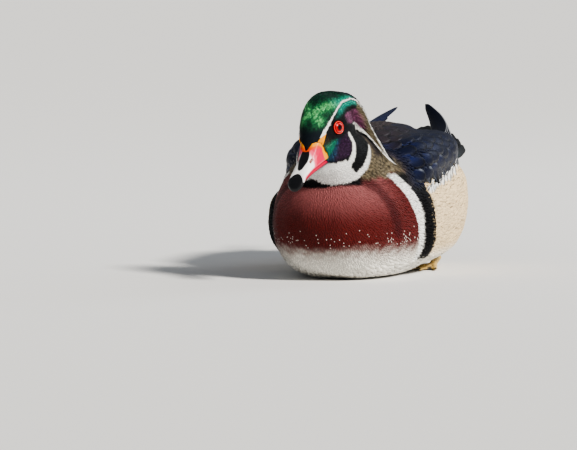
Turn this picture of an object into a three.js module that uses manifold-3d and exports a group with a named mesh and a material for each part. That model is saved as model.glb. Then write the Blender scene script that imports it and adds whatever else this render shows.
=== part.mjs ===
// A drake wood duck at life size, as a still model that rests on its belly with its feet tucked under.
// Millimetres, +Z up. The breast points to -Y and the bird's own left side is +X.
// The head is low, turned a little to the bird's right, with the bill pointing down over the breast.
import * as THREE from 'three';
import { mergeVertices } from 'three/addons/utils/BufferGeometryUtils.js';
import Module from 'manifold-3d';

const wasm = await Module();
wasm.setup();

// Driving dimensions
const gap = 0.36; // clearance between pieces that touch
const fineness = 0.2; // detail smaller than this is smoothed away where pieces are cut
const breastY = -161.5; // foremost point of the breast
const wingStart = 78; // places along the body are measured back from the breast
const wingEnd = 264;
const flankStart = 80;
const flankEnd = 240;
const tailRoot = 268;
const tailTip = 356;
const headPlace = [-3.3, -147.9, 128.9]; // the point midway between the eyes
const headTurn = -13; // degrees towards the bird's right
const headPitch = 23.8; // degrees, bill down
const headRoll = -2.5; // degrees
const eyeRadius = 4.5;
const lidRadius = 4.7;
const lidThickness = 0.85;
const left = 1;
const right = -1;

// Curves and rings

// A smooth curve through [place, value] pairs in rising order of place. It never overshoots them.
function through(pairs) {
  const slopes = pairs.slice(1).map(([x, y], i) => (y - pairs[i][1]) / (x - pairs[i][0]));
  const tangents = pairs.map((_, i) => {
    if (i === 0) return slopes[0];
    if (i === pairs.length - 1) return slopes[i - 1];
    const before = slopes[i - 1];
    const after = slopes[i];
    return before * after <= 0 ? 0 : (2 * before * after) / (before + after);
  });
  return (place) => {
    if (place <= pairs[0][0]) return pairs[0][1];
    if (place >= pairs.at(-1)[0]) return pairs.at(-1)[1];
    const i = pairs.findIndex(([x]) => x > place) - 1;
    const width = pairs[i + 1][0] - pairs[i][0];
    const t = (place - pairs[i][0]) / width;
    const rise = t * t * (3 - 2 * t);
    const bend = t * (1 - t);
    return (
      pairs[i][1] * (1 - rise) +
      pairs[i + 1][1] * rise +
      width * bend * (tangents[i] * (1 - t) - tangents[i + 1] * t)
    );
  };
}

const signedPower = (value, power) => Math.sign(value) * Math.abs(value) ** power;

// How wide a rounded end is at a distance from its tip, from 0 to 1.
const rounded = (distance, radius) => {
  const near = Math.max(0, 1 - distance / radius);
  return Math.sqrt(Math.max(0, 1 - near * near));
};

// Places from one end to the other that crowd together at both ends.
const crowded = (from, to, steps) =>
  Array.from({ length: steps + 1 }, (_, i) => from + ((to - from) * (1 - Math.cos((Math.PI * i) / steps))) / 2);

// One closed outline round a middle, with its own reach to each side and its own squareness above and below.
function ring(shape, around) {
  const { x = 0, z, out, inner = out, up, down, squareUp = 2, squareDown = 2 } = shape;
  return Array.from({ length: around }, (_, i) => {
    const angle = (2 * Math.PI * i) / around;
    const c = Math.cos(angle);
    const s = Math.sin(angle);
    const square = s > 0 ? squareUp : squareDown;
    return [
      x + (c > 0 ? out : inner) * signedPower(c, 2 / square),
      z + (s > 0 ? up : down) * signedPower(s, 2 / square),
    ];
  });
}

// Solids

// Closes a stack of rings of points into a solid. Each end runs to the middle of its ring.
function stack(rings) {
  const around = rings[0].length;
  const points = rings.flat();
  const middle = (points) =>
    points.reduce((sum, p) => sum.add(p), new THREE.Vector3()).divideScalar(points.length);
  const first = points.push(middle(rings[0])) - 1;
  const last = points.push(middle(rings.at(-1))) - 1;
  const faces = [];
  for (let r = 0; r + 1 < rings.length; r++) {
    for (let i = 0; i < around; i++) {
      const a = r * around + i;
      const b = r * around + ((i + 1) % around);
      faces.push([a, b, b + around], [a, b + around, a + around]);
    }
  }
  for (let i = 0; i < around; i++) {
    const next = (i + 1) % around;
    const end = (rings.length - 1) * around;
    faces.push([first, next, i], [last, end + i, end + next]);
  }
  return solid(points, faces);
}

// A closed solid from points and triangles, turned so that its faces point outwards.
function solid(points, faces) {
  const geometry = new THREE.BufferGeometry().setFromPoints(points);
  geometry.setIndex(faces.flat());
  const merged = mergeVertices(geometry, 1e-4);
  const place = merged.getAttribute('position');
  const at = (i) => new THREE.Vector3().fromBufferAttribute(place, i);
  const kept = [];
  let volume = 0;
  for (let i = 0; i < merged.index.count; i += 3) {
    const [a, b, c] = [0, 1, 2].map((k) => merged.index.getX(i + k));
    if (a === b || b === c || a === c) continue;
    kept.push([a, b, c]);
    volume += at(a).dot(at(b).cross(at(c)));
  }
  const triVerts = new Uint32Array((volume < 0 ? kept.map(([a, b, c]) => [a, c, b]) : kept).flat());
  return new wasm.Manifold(new wasm.Mesh({ numProp: 3, vertProperties: place.array, triVerts }));
}

// A solid along the body from shapes across it. shape(place) is a ring's shape, and grow makes it larger all round.
function loft({ from, to, front, back, shape, steps, around, grow = 0, toPoint, lowest = -Infinity }) {
  const rings = crowded(from, to, steps).map((place) => {
    const size = Math.max(0.02, Math.min(rounded(place - from, front), rounded(to - place, back)));
    const s = shape(place);
    const sized = {
      ...s,
      out: s.out * size + grow,
      inner: (s.inner ?? s.out) * size + grow,
      up: s.up * size + grow,
      down: s.down * size + grow,
    };
    const onward = grow * (1 - size) * (place < (from + to) / 2 ? -1 : 1);
    return ring(sized, around).map(([x, z]) => toPoint(x, place + onward, Math.max(z, lowest)));
  });
  return stack(rings);
}

// A solid along a curve. size(t) gives its reach sideways and upwards, and side is roughly its sideways direction.
function tube({ spine, side, size, steps, around, grow = 0 }) {
  const curve = new THREE.CatmullRomCurve3(spine.map((p) => new THREE.Vector3(...p)));
  const rings = crowded(0, 1, steps).map((t) => {
    const middle = curve.getPoint(t);
    const along = curve.getTangent(t);
    const across = new THREE.Vector3(...side).addScaledVector(along, -along.dot(new THREE.Vector3(...side)));
    across.normalize();
    const upwards = new THREE.Vector3().crossVectors(across, along).normalize();
    const { out, up } = size(t);
    if (t === 0 || t === 1) middle.addScaledVector(along, t === 0 ? -grow : grow);
    return ring({ z: 0, out: out + grow, up: up + grow, down: up + grow }, around).map(([x, z]) =>
      middle.clone().addScaledVector(across, x).addScaledVector(upwards, z),
    );
  });
  return stack(rings);
}

// A thin plate. point(u, v) is its middle sheet for u and v from 0 to 1, and half(u, v) is half its thickness, upwards.
function plate({ point, half, across, along, grow = 0 }) {
  const points = [];
  const slack = grow * 0.02;
  const widened = (part) => part * (1 + 2 * slack) - slack;
  const index = (layer, i, j) => (layer * (across + 1) + i) * (along + 1) + j;
  for (const layer of [1, -1]) {
    for (let i = 0; i <= across; i++) {
      for (let j = 0; j <= along; j++) {
        const [x, y, z] = point(widened(i / across), widened(j / along));
        points.push(new THREE.Vector3(x, y, z + layer * (half(i / across, j / along) + grow)));
      }
    }
  }
  const faces = [];
  const quad = (a, b, c, d) => faces.push([a, b, c], [a, c, d]);
  for (let i = 0; i < across; i++) {
    for (let j = 0; j < along; j++) {
      quad(index(0, i, j), index(0, i + 1, j), index(0, i + 1, j + 1), index(0, i, j + 1));
      quad(index(1, i, j), index(1, i, j + 1), index(1, i + 1, j + 1), index(1, i + 1, j));
    }
  }
  for (let i = 0; i < across; i++) {
    quad(index(0, i, 0), index(1, i, 0), index(1, i + 1, 0), index(0, i + 1, 0));
    quad(index(0, i + 1, along), index(1, i + 1, along), index(1, i, along), index(0, i, along));
  }
  for (let j = 0; j < along; j++) {
    quad(index(0, 0, j + 1), index(1, 0, j + 1), index(1, 0, j), index(0, 0, j));
    quad(index(0, across, j), index(1, across, j), index(1, across, j + 1), index(0, across, j + 1));
  }
  return solid(points, faces);
}

// The largest body left after the cuts, without crumbs and with slivers of surface joined up.
function without(piece, ...others) {
  const cut = others.reduce((rest, other) => rest.subtract(other), piece).simplify(fineness);
  return cut.decompose().sort((a, b) => b.volume() - a.volume())[0];
}

// Body, in places measured back from the breast

const onBody = (x, place, z) => new THREE.Vector3(x, breastY + place, z);

const trunkHalf = through([[0, 44], [25, 48.5], [50, 57], [85, 65.5], [130, 69], [200, 67], [235, 57], [268, 40], [300, 26]]);
const trunkTop = through([[0, 78], [25, 93], [50, 107], [85, 118], [130, 125], [190, 126], [235, 113], [268, 100], [300, 92]]);
const trunkWaist = through([[0, 58], [50, 47], [100, 44], [200, 48], [240, 62], [300, 80]]);
const trunkBottom = through([[0, 26], [25, 6], [50, -3], [90, -8], [180, -6], [220, 4], [262, 36], [300, 66]]);

function trunkShape(place) {
  const waist = trunkWaist(place);
  return {
    z: waist,
    out: trunkHalf(place),
    up: trunkTop(place) - waist,
    down: waist - trunkBottom(place),
    squareUp: 2.05,
    squareDown: 2.3,
  };
}

const trunkLoft = loft({
  from: 0, to: 306, front: 40, back: 16, shape: trunkShape, steps: 15, around: 20, toPoint: onBody, lowest: 0,
});

// The side feathers that cover the lower edge of the wing, one pad on each side.
const flankOut = through([[80, 24], [100, 27.5], [205, 25], [240, 22]]);
const flankMiddle = through([[80, 45], [100, 48.5], [205, 49], [240, 43]]);
const flankTop = through([[80, 68], [110, 76], [150, 81], [240, 93]]);
const flankBottom = through([[80, 14], [130, 7], [190, 9], [240, 30]]);

const flankLoft = (sign, grow = 0) =>
  loft({
    from: flankStart, to: flankEnd, front: 16, back: 12, steps: 9, around: 14, grow,
    shape: (place) => {
      const middle = (flankTop(place) + flankBottom(place)) / 2;
      return {
        x: flankMiddle(place), z: middle, out: flankOut(place), inner: 20,
        up: flankTop(place) - middle, down: middle - flankBottom(place), squareUp: 2.9, squareDown: 2.1,
      };
    },
    toPoint: (x, place, z) => onBody(sign * x, place, z),
  });

// The folded wing with the shoulder feathers over it.
const wingMiddle = through([[80, 33], [130, 37], [200, 37], [264, 24]]);
const wingHeight = through([[80, 86], [130, 91], [200, 96], [264, 102]]);
const wingOut = through([[80, 25], [120, 28.5], [200, 28], [235, 25], [264, 15]]);
const wingUp = through([[80, 24], [120, 25.5], [200, 20.5], [264, 11]]);

const wingLoft = (sign, grow = 0) =>
  loft({
    from: wingStart, to: wingEnd, front: 46, back: 34, steps: 10, around: 14, grow,
    shape: (place) => ({
      x: wingMiddle(place), z: wingHeight(place), out: wingOut(place), inner: 19,
      up: wingUp(place), down: 20, squareUp: 2.4, squareDown: 2,
    }),
    toPoint: (x, place, z) => onBody(sign * x, place, z),
  });

// The long flight feathers that stand up behind the folded wing and cross over the rump.
const quillSpines = {
  [left]: [[33, 200, 97], [36, 230, 103], [36, 255, 110], [26, 281, 120], [10, 305, 132.5]],
  [right]: [[32, 200, 99], [34, 230, 106], [31, 255, 114], [25, 281, 122], [18, 305, 129.5]],
};

const quillTube = (sign, grow = 0) =>
  tube({
    spine: quillSpines[sign].map(([x, place, z]) => [sign * x, breastY + place, z]),
    side: [sign * 0.75, -0.35, 0.55],
    size: (t) => ({ out: 11.5 - 9.8 * t ** 1.6, up: 4.6 - 3.7 * t }),
    steps: 8, around: 10, grow,
  });

// Tail fan, arched across like a low roof, with a scalloped end of twelve feathers.
const tailFeathers = 12;
const tailHalf = through([[0, 17], [0.5, 29], [1, 37]]);
const tailRise = through([[0, 86], [0.35, 91], [1, 110]]);
const tailArch = through([[0, 5], [1, 19]]);

function tailPoint(u, v) {
  const side = 2 * u - 1;
  const scallop = 3.2 * (1 - Math.abs(Math.sin(Math.PI * tailFeathers * u)));
  const length = tailTip - tailRoot - 11 * side * side * Math.abs(side) - scallop;
  const x = tailHalf(v) * side;
  return [x, breastY + tailRoot + length * v, tailRise(v) - tailArch(v) * side * side];
}

const tailPlate = (grow = 0) =>
  plate({ point: tailPoint, half: (u, v) => 4.6 - 3.5 * v ** 0.6, across: 24, along: 4, grow });

// Feet, tucked under the flanks with their toes forward
const footMiddle = 47;
const toeRoot = 192;
const ankle = 222;
const toes = [
  { spread: -15, length: 41 },
  { spread: 0, length: 47 },
  { spread: 17, length: 38 },
];

function footSolid(sign, grow = 0) {
  const at = (x, place, z) => [sign * x, breastY + place, z];
  const limb = (spine, thick, thin, flat) =>
    tube({
      spine, side: [1, 0, 0], steps: 5, around: 8, grow,
      size: (t) => ({ out: (thick + (thin - thick) * t) * 1.15, up: (thick + (thin - thick) * t) * flat }),
    });
  const toeSpine = ({ spread, length }) => {
    const turn = THREE.MathUtils.degToRad(spread);
    return [0, 0.35, 0.7, 1].map((t) =>
      at(footMiddle + Math.sin(turn) * length * t, toeRoot - Math.cos(turn) * length * t, 2.4 - 0.6 * t),
    );
  };
  const shank = limb([at(footMiddle, toeRoot - 4, 2.6), at(44, 207, 4.2), at(42, ankle, 6)], 3, 3.2, 0.95);
  const web = plate({
    across: 6, along: 3, grow,
    point: (u, v) => {
      const turn = THREE.MathUtils.degToRad(toes[0].spread + (toes[2].spread - toes[0].spread) * u);
      const reach = (37 - 5 * Math.sin(2 * Math.PI * u) ** 2) * (0.08 + 0.92 * v);
      return at(footMiddle + Math.sin(turn) * reach, toeRoot - Math.cos(turn) * reach, 1.5);
    },
    half: () => 0.7,
  });
  const parts = [shank, ...toes.map((toe) => limb(toeSpine(toe), 2.5, 1.5, 0.85)), web];
  const floor = solid(
    [-1, 1].flatMap((i) => [-1, 1].flatMap((j) => [-40, 0].map((z) => new THREE.Vector3(...at(45 + i * 60, 200 + j * 90, z))))),
    [[0, 1, 3], [0, 3, 2], [4, 6, 7], [4, 7, 5], [0, 4, 5], [0, 5, 1], [2, 3, 7], [2, 7, 6], [0, 2, 6], [0, 6, 4], [1, 5, 7], [1, 7, 3]],
  );
  const joined = parts.reduce((sum, part) => sum.add(part));
  return grow > 0 ? joined : joined.subtract(floor).simplify(fineness);
}

// Head, in its own frame: +X the bird's left, -Y forwards along the closed bill, +Z up, from the point between the eyes.
// Places here are measured forwards.

const onHead = (x, forward, z) => new THREE.Vector3(x, -forward, z);
const headFrame = new THREE.Group();
headFrame.position.set(...headPlace);
headFrame.rotation.set(
  THREE.MathUtils.degToRad(headPitch),
  THREE.MathUtils.degToRad(headRoll),
  THREE.MathUtils.degToRad(headTurn),
  'ZXY',
);
headFrame.updateMatrixWorld(true);
const fromHead = (piece) => piece.transform(headFrame.matrixWorld.elements);

const crownTop = through([[-40, 6], [-33, 17], [-24, 24], [-13, 27], [-3, 26], [6, 21.5], [14, 15.5], [21, 8], [26, 1.5], [31, -5]]);
const headHalf = through([[-40, 13], [-30, 18.5], [-18, 21.5], [-6, 20.6], [3, 18.5], [12, 15.8], [20, 11.6], [31, 7]]);
const headBottom = through([[-40, -28], [-22, -40], [-5, -38], [8, -30], [20, -24], [31, -20]]);
const headWaist = through([[-40, -8], [-10, -7], [10, -7], [31, -12]]);

const headLoft = (grow = 0) =>
  loft({
    from: -40, to: 32, front: 26, back: 3, steps: 14, around: 18, grow, toPoint: onHead,
    shape: (forward) => {
      const waist = headWaist(forward);
      return {
        z: waist, out: headHalf(forward), up: crownTop(forward) - waist, down: waist - headBottom(forward),
        squareUp: 2.25, squareDown: 2.1,
      };
    },
  });

// The point of forehead feathers that runs down between the two lobes of the bill.
const wedgeHalf = through([[10, 11], [18, 7.6], [24, 4.4], [31, 0.9]]);

const foreheadWedge = (grow = 0) =>
  loft({
    from: 10, to: 31.5, front: 0.5, back: 1, steps: 8, around: 12, grow, toPoint: onHead,
    shape: (forward) => ({ z: crownTop(forward) - 5, out: wedgeHalf(forward), up: 5.6, down: 5, squareUp: 2.2 }),
  });

// Bill, with a lobe on each side of the forehead and a broad hooked nail
const culmen = through([[14, 8], [20, 5], [26, 0], [31, -4.6], [38, -9], [46, -13], [53, -16], [59, -18.4], [64, -22.3]]);
const billHalf = through([[14, 10.6], [20, 11], [26, 10.4], [34, 9.2], [46, 8], [56, 7.7], [64, 6.8]]);
const mouthLine = through([[14, -20], [24, -18.6], [40, -18.4], [52, -19.6], [59, -23], [64, -26.8]]);
const billSquare = through([[14, 3.6], [24, 2.6], [38, 2], [64, 2.2]]);

const billTopLoft = (grow = 0) =>
  loft({
    from: 15, to: 64, front: 1, back: 7, steps: 12, around: 16, grow, toPoint: onHead,
    shape: (forward) => {
      const edge = mouthLine(forward) + 1.6;
      return {
        z: edge, out: billHalf(forward), up: culmen(forward) - edge, down: 1.6,
        squareUp: billSquare(forward), squareDown: 3,
      };
    },
  });

const lowerHalf = through([[16, 9.6], [26, 8.8], [40, 7.2], [52, 6.2], [58, 5.4]]);
const lowerBottom = through([[16, -25.5], [30, -23.6], [45, -22.6], [58, -24.4]]);

const billLowLoft = (grow = 0) =>
  loft({
    from: 15, to: 58, front: 1, back: 6, steps: 8, around: 14, grow, toPoint: onHead,
    shape: (forward) => {
      const top = mouthLine(forward) + 0.4;
      const middle = (top + lowerBottom(forward)) / 2;
      return { z: middle, out: lowerHalf(forward), up: top - middle, down: middle - lowerBottom(forward), squareDown: 2.4 };
    },
  });

// Crest, hanging from the crown down the nape to a point over the left shoulder
const crestSpine = [[0, 8, 13], [0, 23, 13.5], [1, 36.5, 4], [5, 44, -14], [12, 49, -35], [18, 53, -51], [22, 55, -62]];
const crestOut = through([[0, 13], [0.2, 21.3], [0.4, 18.2], [0.6, 11], [0.8, 6.9], [0.93, 4.4], [1, 2]]);
const crestUp = through([[0, 5], [0.2, 11], [0.4, 9.5], [0.6, 7.5], [0.8, 6], [0.93, 4], [1, 1.5]]);

const crestTube = (grow = 0) =>
  tube({
    spine: crestSpine, side: [1, 0, 0], steps: 11, around: 12, grow,
    size: (t) => ({ out: crestOut(t), up: crestUp(t) }),
  });

// Eyes look sideways, a little forwards and up
const eyeLook = new THREE.Vector3(0.95, -0.26, 0.16).normalize();
const eyeSurface = new THREE.Vector3(18.6, -0.6, 2);
const eyeBall = 7.4;

const mirrored = (vector, sign) => new THREE.Vector3(sign * vector.x, vector.y, vector.z);

function turned(geometry, sign, along) {
  const look = mirrored(eyeLook, sign);
  geometry.applyQuaternion(new THREE.Quaternion().setFromUnitVectors(new THREE.Vector3(0, 1, 0), look));
  const place = mirrored(eyeSurface, sign).addScaledVector(look, along);
  geometry.translate(place.x, place.y, place.z);
  for (const name of ['normal', 'uv']) geometry.deleteAttribute(name);
  const merged = mergeVertices(geometry, 1e-4);
  const points = Array.from({ length: merged.getAttribute('position').count }, (_, i) =>
    new THREE.Vector3().fromBufferAttribute(merged.getAttribute('position'), i),
  );
  const corners = Array.from(merged.index.array);
  const faces = Array.from({ length: corners.length / 3 }, (_, i) => corners.slice(3 * i, 3 * i + 3));
  return solid(points, faces);
}

// The visible cap of the eyeball: a lens from a shallow profile turned about the line of sight.
const eyeSolid = (sign, grow = 0) => {
  const profile = [new THREE.Vector2(0, -4.5 - grow)];
  for (let i = 0; i <= 3; i++) {
    const angle = (i / 3) * Math.asin(eyeRadius / eyeBall);
    const reach = eyeBall + grow;
    profile.push(new THREE.Vector2(reach * Math.sin(Math.asin(eyeRadius / eyeBall) - angle), 0));
    profile.at(-1).y = reach * Math.cos(Math.asin(eyeRadius / eyeBall) - angle) - eyeBall + 1.2;
  }
  profile.splice(1, 0, new THREE.Vector2(eyeRadius + grow, -4.5 - grow));
  profile.at(-1).x = 0;
  return turned(new THREE.LatheGeometry(profile, 14), sign, 0);
};

const lidSolid = (sign, grow = 0) => {
  const lid = new THREE.TorusGeometry(lidRadius + 0.35, lidThickness + grow, 5, 12);
  lid.rotateX(Math.PI / 2);
  lid.scale(1, 1.15, 1);
  return turned(lid, sign, -0.75);
};

// Neck, drawn in, from the back of the head down into the breast
const neckSpine = [[0.5, -141, 120], [1, -131, 108], [2, -114, 94], [1, -92, 82]];
const neckReach = through([[0, 22], [0.3, 30], [0.65, 38], [1, 40]]);

const neckTube = (grow = 0) =>
  tube({
    spine: neckSpine, side: [1, 0, 0], steps: 6, around: 16, grow,
    size: (t) => ({ out: neckReach(t), up: neckReach(t) * 0.95 }),
  });

// Parting: each piece gives way to the ones before it

const feet = [left, right].map((sign) => footSolid(sign));
const footSpaces = [left, right].map((sign) => footSolid(sign, gap + 0.2).hull());
const eyes = [left, right].map((sign) => eyeSolid(sign));
const lids = [left, right].map((sign) => without(lidSolid(sign), eyeSolid(sign, gap)));
const eyeSpaces = [left, right].flatMap((sign) => [eyeSolid(sign, gap), lidSolid(sign, gap)]);

const billTop = without(billTopLoft(), foreheadWedge(gap), ...eyeSpaces);
const billLow = without(billLowLoft(), billTopLoft(gap));
const head = without(
  headLoft().subtract(billTopLoft(gap)).add(foreheadWedge()),
  billLowLoft(gap),
  ...eyeSpaces,
);
const crest = without(crestTube(), headLoft(gap));

const headSpace = fromHead(headLoft(gap));
const crestSpace = fromHead(crestTube(gap));
const neck = without(neckTube(), headSpace, crestSpace, fromHead(billLowLoft(gap)));
const neckSpace = neckTube(gap);

const quills = [left, right].map((sign) => quillTube(sign));
const quillSpaces = [left, right].map((sign) => quillTube(sign, gap));
const headSpaces = [headSpace, crestSpace, neckSpace];
const wings = [left, right].map((sign, i) => without(wingLoft(sign), quillSpaces[i], ...headSpaces));
const wingSpaces = [left, right].map((sign) => wingLoft(sign, gap));
const flanks = [left, right].map((sign, i) => without(flankLoft(sign), wingSpaces[i], footSpaces[i]));
const flankSpaces = [left, right].map((sign) => flankLoft(sign, gap));
const tail = tailPlate();
const trunk = without(
  trunkLoft,
  ...wingSpaces, ...flankSpaces, ...quillSpaces, ...footSpaces, ...headSpaces, tailPlate(gap + 0.3),
);

// Assembly

const coat = (colour, roughness = 0.7, metalness = 0) =>
  new THREE.MeshStandardMaterial({ color: new THREE.Color(...colour), roughness, metalness });

const materials = {
  chestnut: coat([0.32, 0.06, 0.05]),
  headGloss: coat([0.03, 0.16, 0.09], 0.4, 0.3),
  crestGloss: coat([0.05, 0.14, 0.16], 0.4, 0.3),
  neckBrown: coat([0.26, 0.1, 0.08]),
  buff: coat([0.78, 0.64, 0.45]),
  wingGloss: coat([0.03, 0.04, 0.1], 0.45, 0.25),
  quillBlue: coat([0.03, 0.05, 0.14], 0.45, 0.25),
  tailBlack: coat([0.02, 0.025, 0.04], 0.5, 0.1),
  billRed: coat([0.8, 0.25, 0.25], 0.35),
  billPale: coat([0.85, 0.7, 0.6], 0.35),
  eyeRed: coat([0.75, 0.05, 0.03], 0.1),
  lidRed: coat([0.85, 0.18, 0.12], 0.5),
  footStraw: coat([0.7, 0.55, 0.25], 0.6),
};

const duck = new THREE.Group();
duck.add(headFrame);

function place(parent, name, piece, material) {
  const { vertProperties, triVerts, numProp } = piece.getMesh();
  const points = [];
  for (let i = 0; i < vertProperties.length; i += numProp) {
    points.push(new THREE.Vector3(vertProperties[i], vertProperties[i + 1], vertProperties[i + 2]));
  }
  const geometry = new THREE.BufferGeometry().setFromPoints(points);
  geometry.setIndex(Array.from(triVerts));
  geometry.computeVertexNormals();
  const mesh = new THREE.Mesh(geometry, material);
  mesh.name = name;
  parent.add(mesh);
}

place(duck, 'trunk', trunk, materials.chestnut);
place(duck, 'neck', neck, materials.neckBrown);
place(duck, 'tail', tail, materials.tailBlack);
place(headFrame, 'head', head, materials.headGloss);
place(headFrame, 'crest', crest, materials.crestGloss);
place(headFrame, 'bill_upper', billTop, materials.billRed);
place(headFrame, 'bill_lower', billLow, materials.billPale);

['left', 'right'].forEach((side, i) => {
  place(duck, `wing_${side}`, wings[i], materials.wingGloss);
  place(duck, `flank_${side}`, flanks[i], materials.buff);
  place(duck, `primaries_${side}`, quills[i], materials.quillBlue);
  place(duck, `foot_${side}`, feet[i], materials.footStraw);
  place(headFrame, `eye_${side}`, eyes[i], materials.eyeRed);
  place(headFrame, `eyelid_${side}`, lids[i], materials.lidRed);
});

export default duck;
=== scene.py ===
import math

import bmesh
import bpy
import numpy as np
from mathutils import Matrix, Vector
from mathutils.bvhtree import BVHTree


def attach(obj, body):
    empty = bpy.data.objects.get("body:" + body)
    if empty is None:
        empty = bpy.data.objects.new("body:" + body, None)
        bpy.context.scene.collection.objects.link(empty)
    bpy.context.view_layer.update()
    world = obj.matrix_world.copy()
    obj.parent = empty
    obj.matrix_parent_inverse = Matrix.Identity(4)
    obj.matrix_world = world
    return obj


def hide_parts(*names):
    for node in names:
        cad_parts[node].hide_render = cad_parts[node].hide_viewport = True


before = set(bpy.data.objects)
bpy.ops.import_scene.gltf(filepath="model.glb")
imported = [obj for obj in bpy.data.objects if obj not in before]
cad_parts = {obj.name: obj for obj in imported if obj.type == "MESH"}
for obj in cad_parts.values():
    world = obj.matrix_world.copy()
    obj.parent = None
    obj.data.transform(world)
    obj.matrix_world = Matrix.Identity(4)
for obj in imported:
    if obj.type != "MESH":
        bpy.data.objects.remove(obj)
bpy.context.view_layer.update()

dice = np.random.default_rng(11)
mm = 0.001
breastY = -161.5  # foremost point of the breast, in millimetres

# small helpers: everything below works in millimetres until a mesh is made


def unit(v):
    v = np.asarray(v, float)
    return v / np.maximum(np.linalg.norm(v, axis=-1, keepdims=True), 1e-9)


def smooth(a, b, x):
    t = np.clip((np.asarray(x, float) - a) / (b - a), 0, 1)
    return t * t * (3 - 2 * t)


def curve(pairs, x):
    xs, ys = zip(*pairs)
    return np.interp(x, xs, ys)


def mix(a, b, t):
    t = np.asarray(t, float)[..., None]
    return np.asarray(a, float) * (1 - t) + np.asarray(b, float) * t


def lineDistance(points, line):
    # distance from each 2-D or 3-D point to a polyline, and how far along it the nearest place is, 0 to 1
    line = np.asarray(line, float)
    best = np.full(len(points), 1e9)
    along = np.zeros(len(points))
    for i in range(len(line) - 1):
        a, d = line[i], line[i + 1] - line[i]
        t = np.clip(((points - a) @ d) / (d @ d), 0, 1)
        gap = np.linalg.norm(points - (a + t[:, None] * d), axis=1)
        nearer = gap < best
        best[nearer] = gap[nearer]
        along[nearer] = (i + t[nearer]) / (len(line) - 1)
    return best, along


def inside(points, outline):
    # which 2-D points lie inside a closed outline
    x, y = points[:, 0], points[:, 1]
    hit = np.zeros(len(points), bool)
    for (x1, y1), (x2, y2) in zip(outline, outline[1:] + outline[:1]):
        crosses = (y1 > y) != (y2 > y)
        at = (x2 - x1) * (y - y1) / ((y2 - y1) if y2 != y1 else 1e-9) + x1
        hit ^= crosses & (x < at)
    return hit


def blotches(points, size, seed=0):
    # a smooth random number from 0 to 1 at each point, for mottling
    rng = np.random.default_rng(seed)
    total = np.zeros(len(points))
    for k in range(5):
        way = unit(rng.normal(size=3)) * (2 * math.pi / size) * (0.7 + 0.25 * k)
        total += np.sin(points @ way + rng.uniform(0, 6.28))
    return np.clip(0.5 + total / 6, 0, 1)


# the head's own frame: forward along the closed bill, left, up, from between the eyes

headPlace = np.array([-3.3, -147.9, 128.9])
yaw, pitch, roll = (Matrix.Rotation(math.radians(a), 3, axis) for a, axis in ((-13, "Z"), (23.8, "X"), (-2.5, "Y")))
headAxes = np.array(yaw @ pitch @ roll)  # columns are left, back and up


def toHead(points):
    local = (np.asarray(points, float) - headPlace) @ headAxes
    return np.stack([-local[..., 1], local[..., 0], local[..., 2]], -1)


def fromHead(points):
    p = np.asarray(points, float)
    return headPlace + np.stack([p[..., 1], -p[..., 0], p[..., 2]], -1) @ headAxes.T


def headDirection(v):
    v = np.asarray(v, float)
    return np.stack([v[..., 1], -v[..., 0], v[..., 2]], -1) @ headAxes.T


def toBody(points):
    # back from the breast, to the left, up
    p = np.asarray(points, float)
    return np.stack([p[..., 1] - breastY, p[..., 0], p[..., 2]], -1)


# plumage colours, shared by the skin and every feather

paint = {
    "black": (0.004, 0.004, 0.005),
    "white": (0.86, 0.85, 0.82),
    "crownGreen": (0.018, 0.19, 0.062),
    # painted highlight on the crown's green band
    "crownHighlight": (0.17, 0.62, 0.22),
    "crownNavy": (0.003, 0.007, 0.012),
    "teal": (0.025, 0.27, 0.20),
    "purple": (0.13, 0.042, 0.085),
    "bronze": (0.16, 0.13, 0.08),
    "cheekGreen": (0.014, 0.14, 0.085),
    "cheekBlue": (0.014, 0.040, 0.075),
    "cheekPurple": (0.026, 0.010, 0.030),
    "chestnut": (0.098, 0.012, 0.0105),
    # painted sheen, lighter mauve on the upper breast
    "breastSheen": (0.30, 0.105, 0.105),
    # painted shade for the breast's creases
    "foldShade": (0.050, 0.006, 0.007),
    "olive": (0.26, 0.21, 0.13),
    "oliveDark": (0.022, 0.017, 0.012),
    "mantle": (0.030, 0.021, 0.021),
    "wing": (0.006, 0.008, 0.022),
    "wingBlue": (0.008, 0.015, 0.080),
    "buff": (0.71, 0.55, 0.34),
    "belly": (0.80, 0.77, 0.70),
    "rump": (0.018, 0.018, 0.016),
    "plum": (0.085, 0.010, 0.028),
    "underTail": (0.10, 0.070, 0.050),
    "billYellow": (0.80, 0.29, 0.0),
    "billOrange": (0.70, 0.07, 0.004),
    "billPink": (0.62, 0.008, 0.060),
    "billRose": (0.86, 0.13, 0.20),
    "billWhite": (0.88, 0.86, 0.84),
    "underBill": (0.035, 0.02, 0.022),
    "nostril": (0.20, 0.025, 0.008),
    "iris": (0.50, 0.006, 0.008),
    "irisInner": (0.16, 0.002, 0.002),
    "pupil": (0.004, 0.004, 0.005),
    # painted highlight on the iris's rim
    "irisHighlight": (0.66, 0.30, 0.27),
    "eyeRim": (0.05, 0.004, 0.004),
    "eyelid": (0.74, 0.028, 0.016),
    "web": (0.055, 0.045, 0.035),
    "toe": (0.60, 0.40, 0.12),
    "claw": (0.03, 0.024, 0.02),
}

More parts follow.
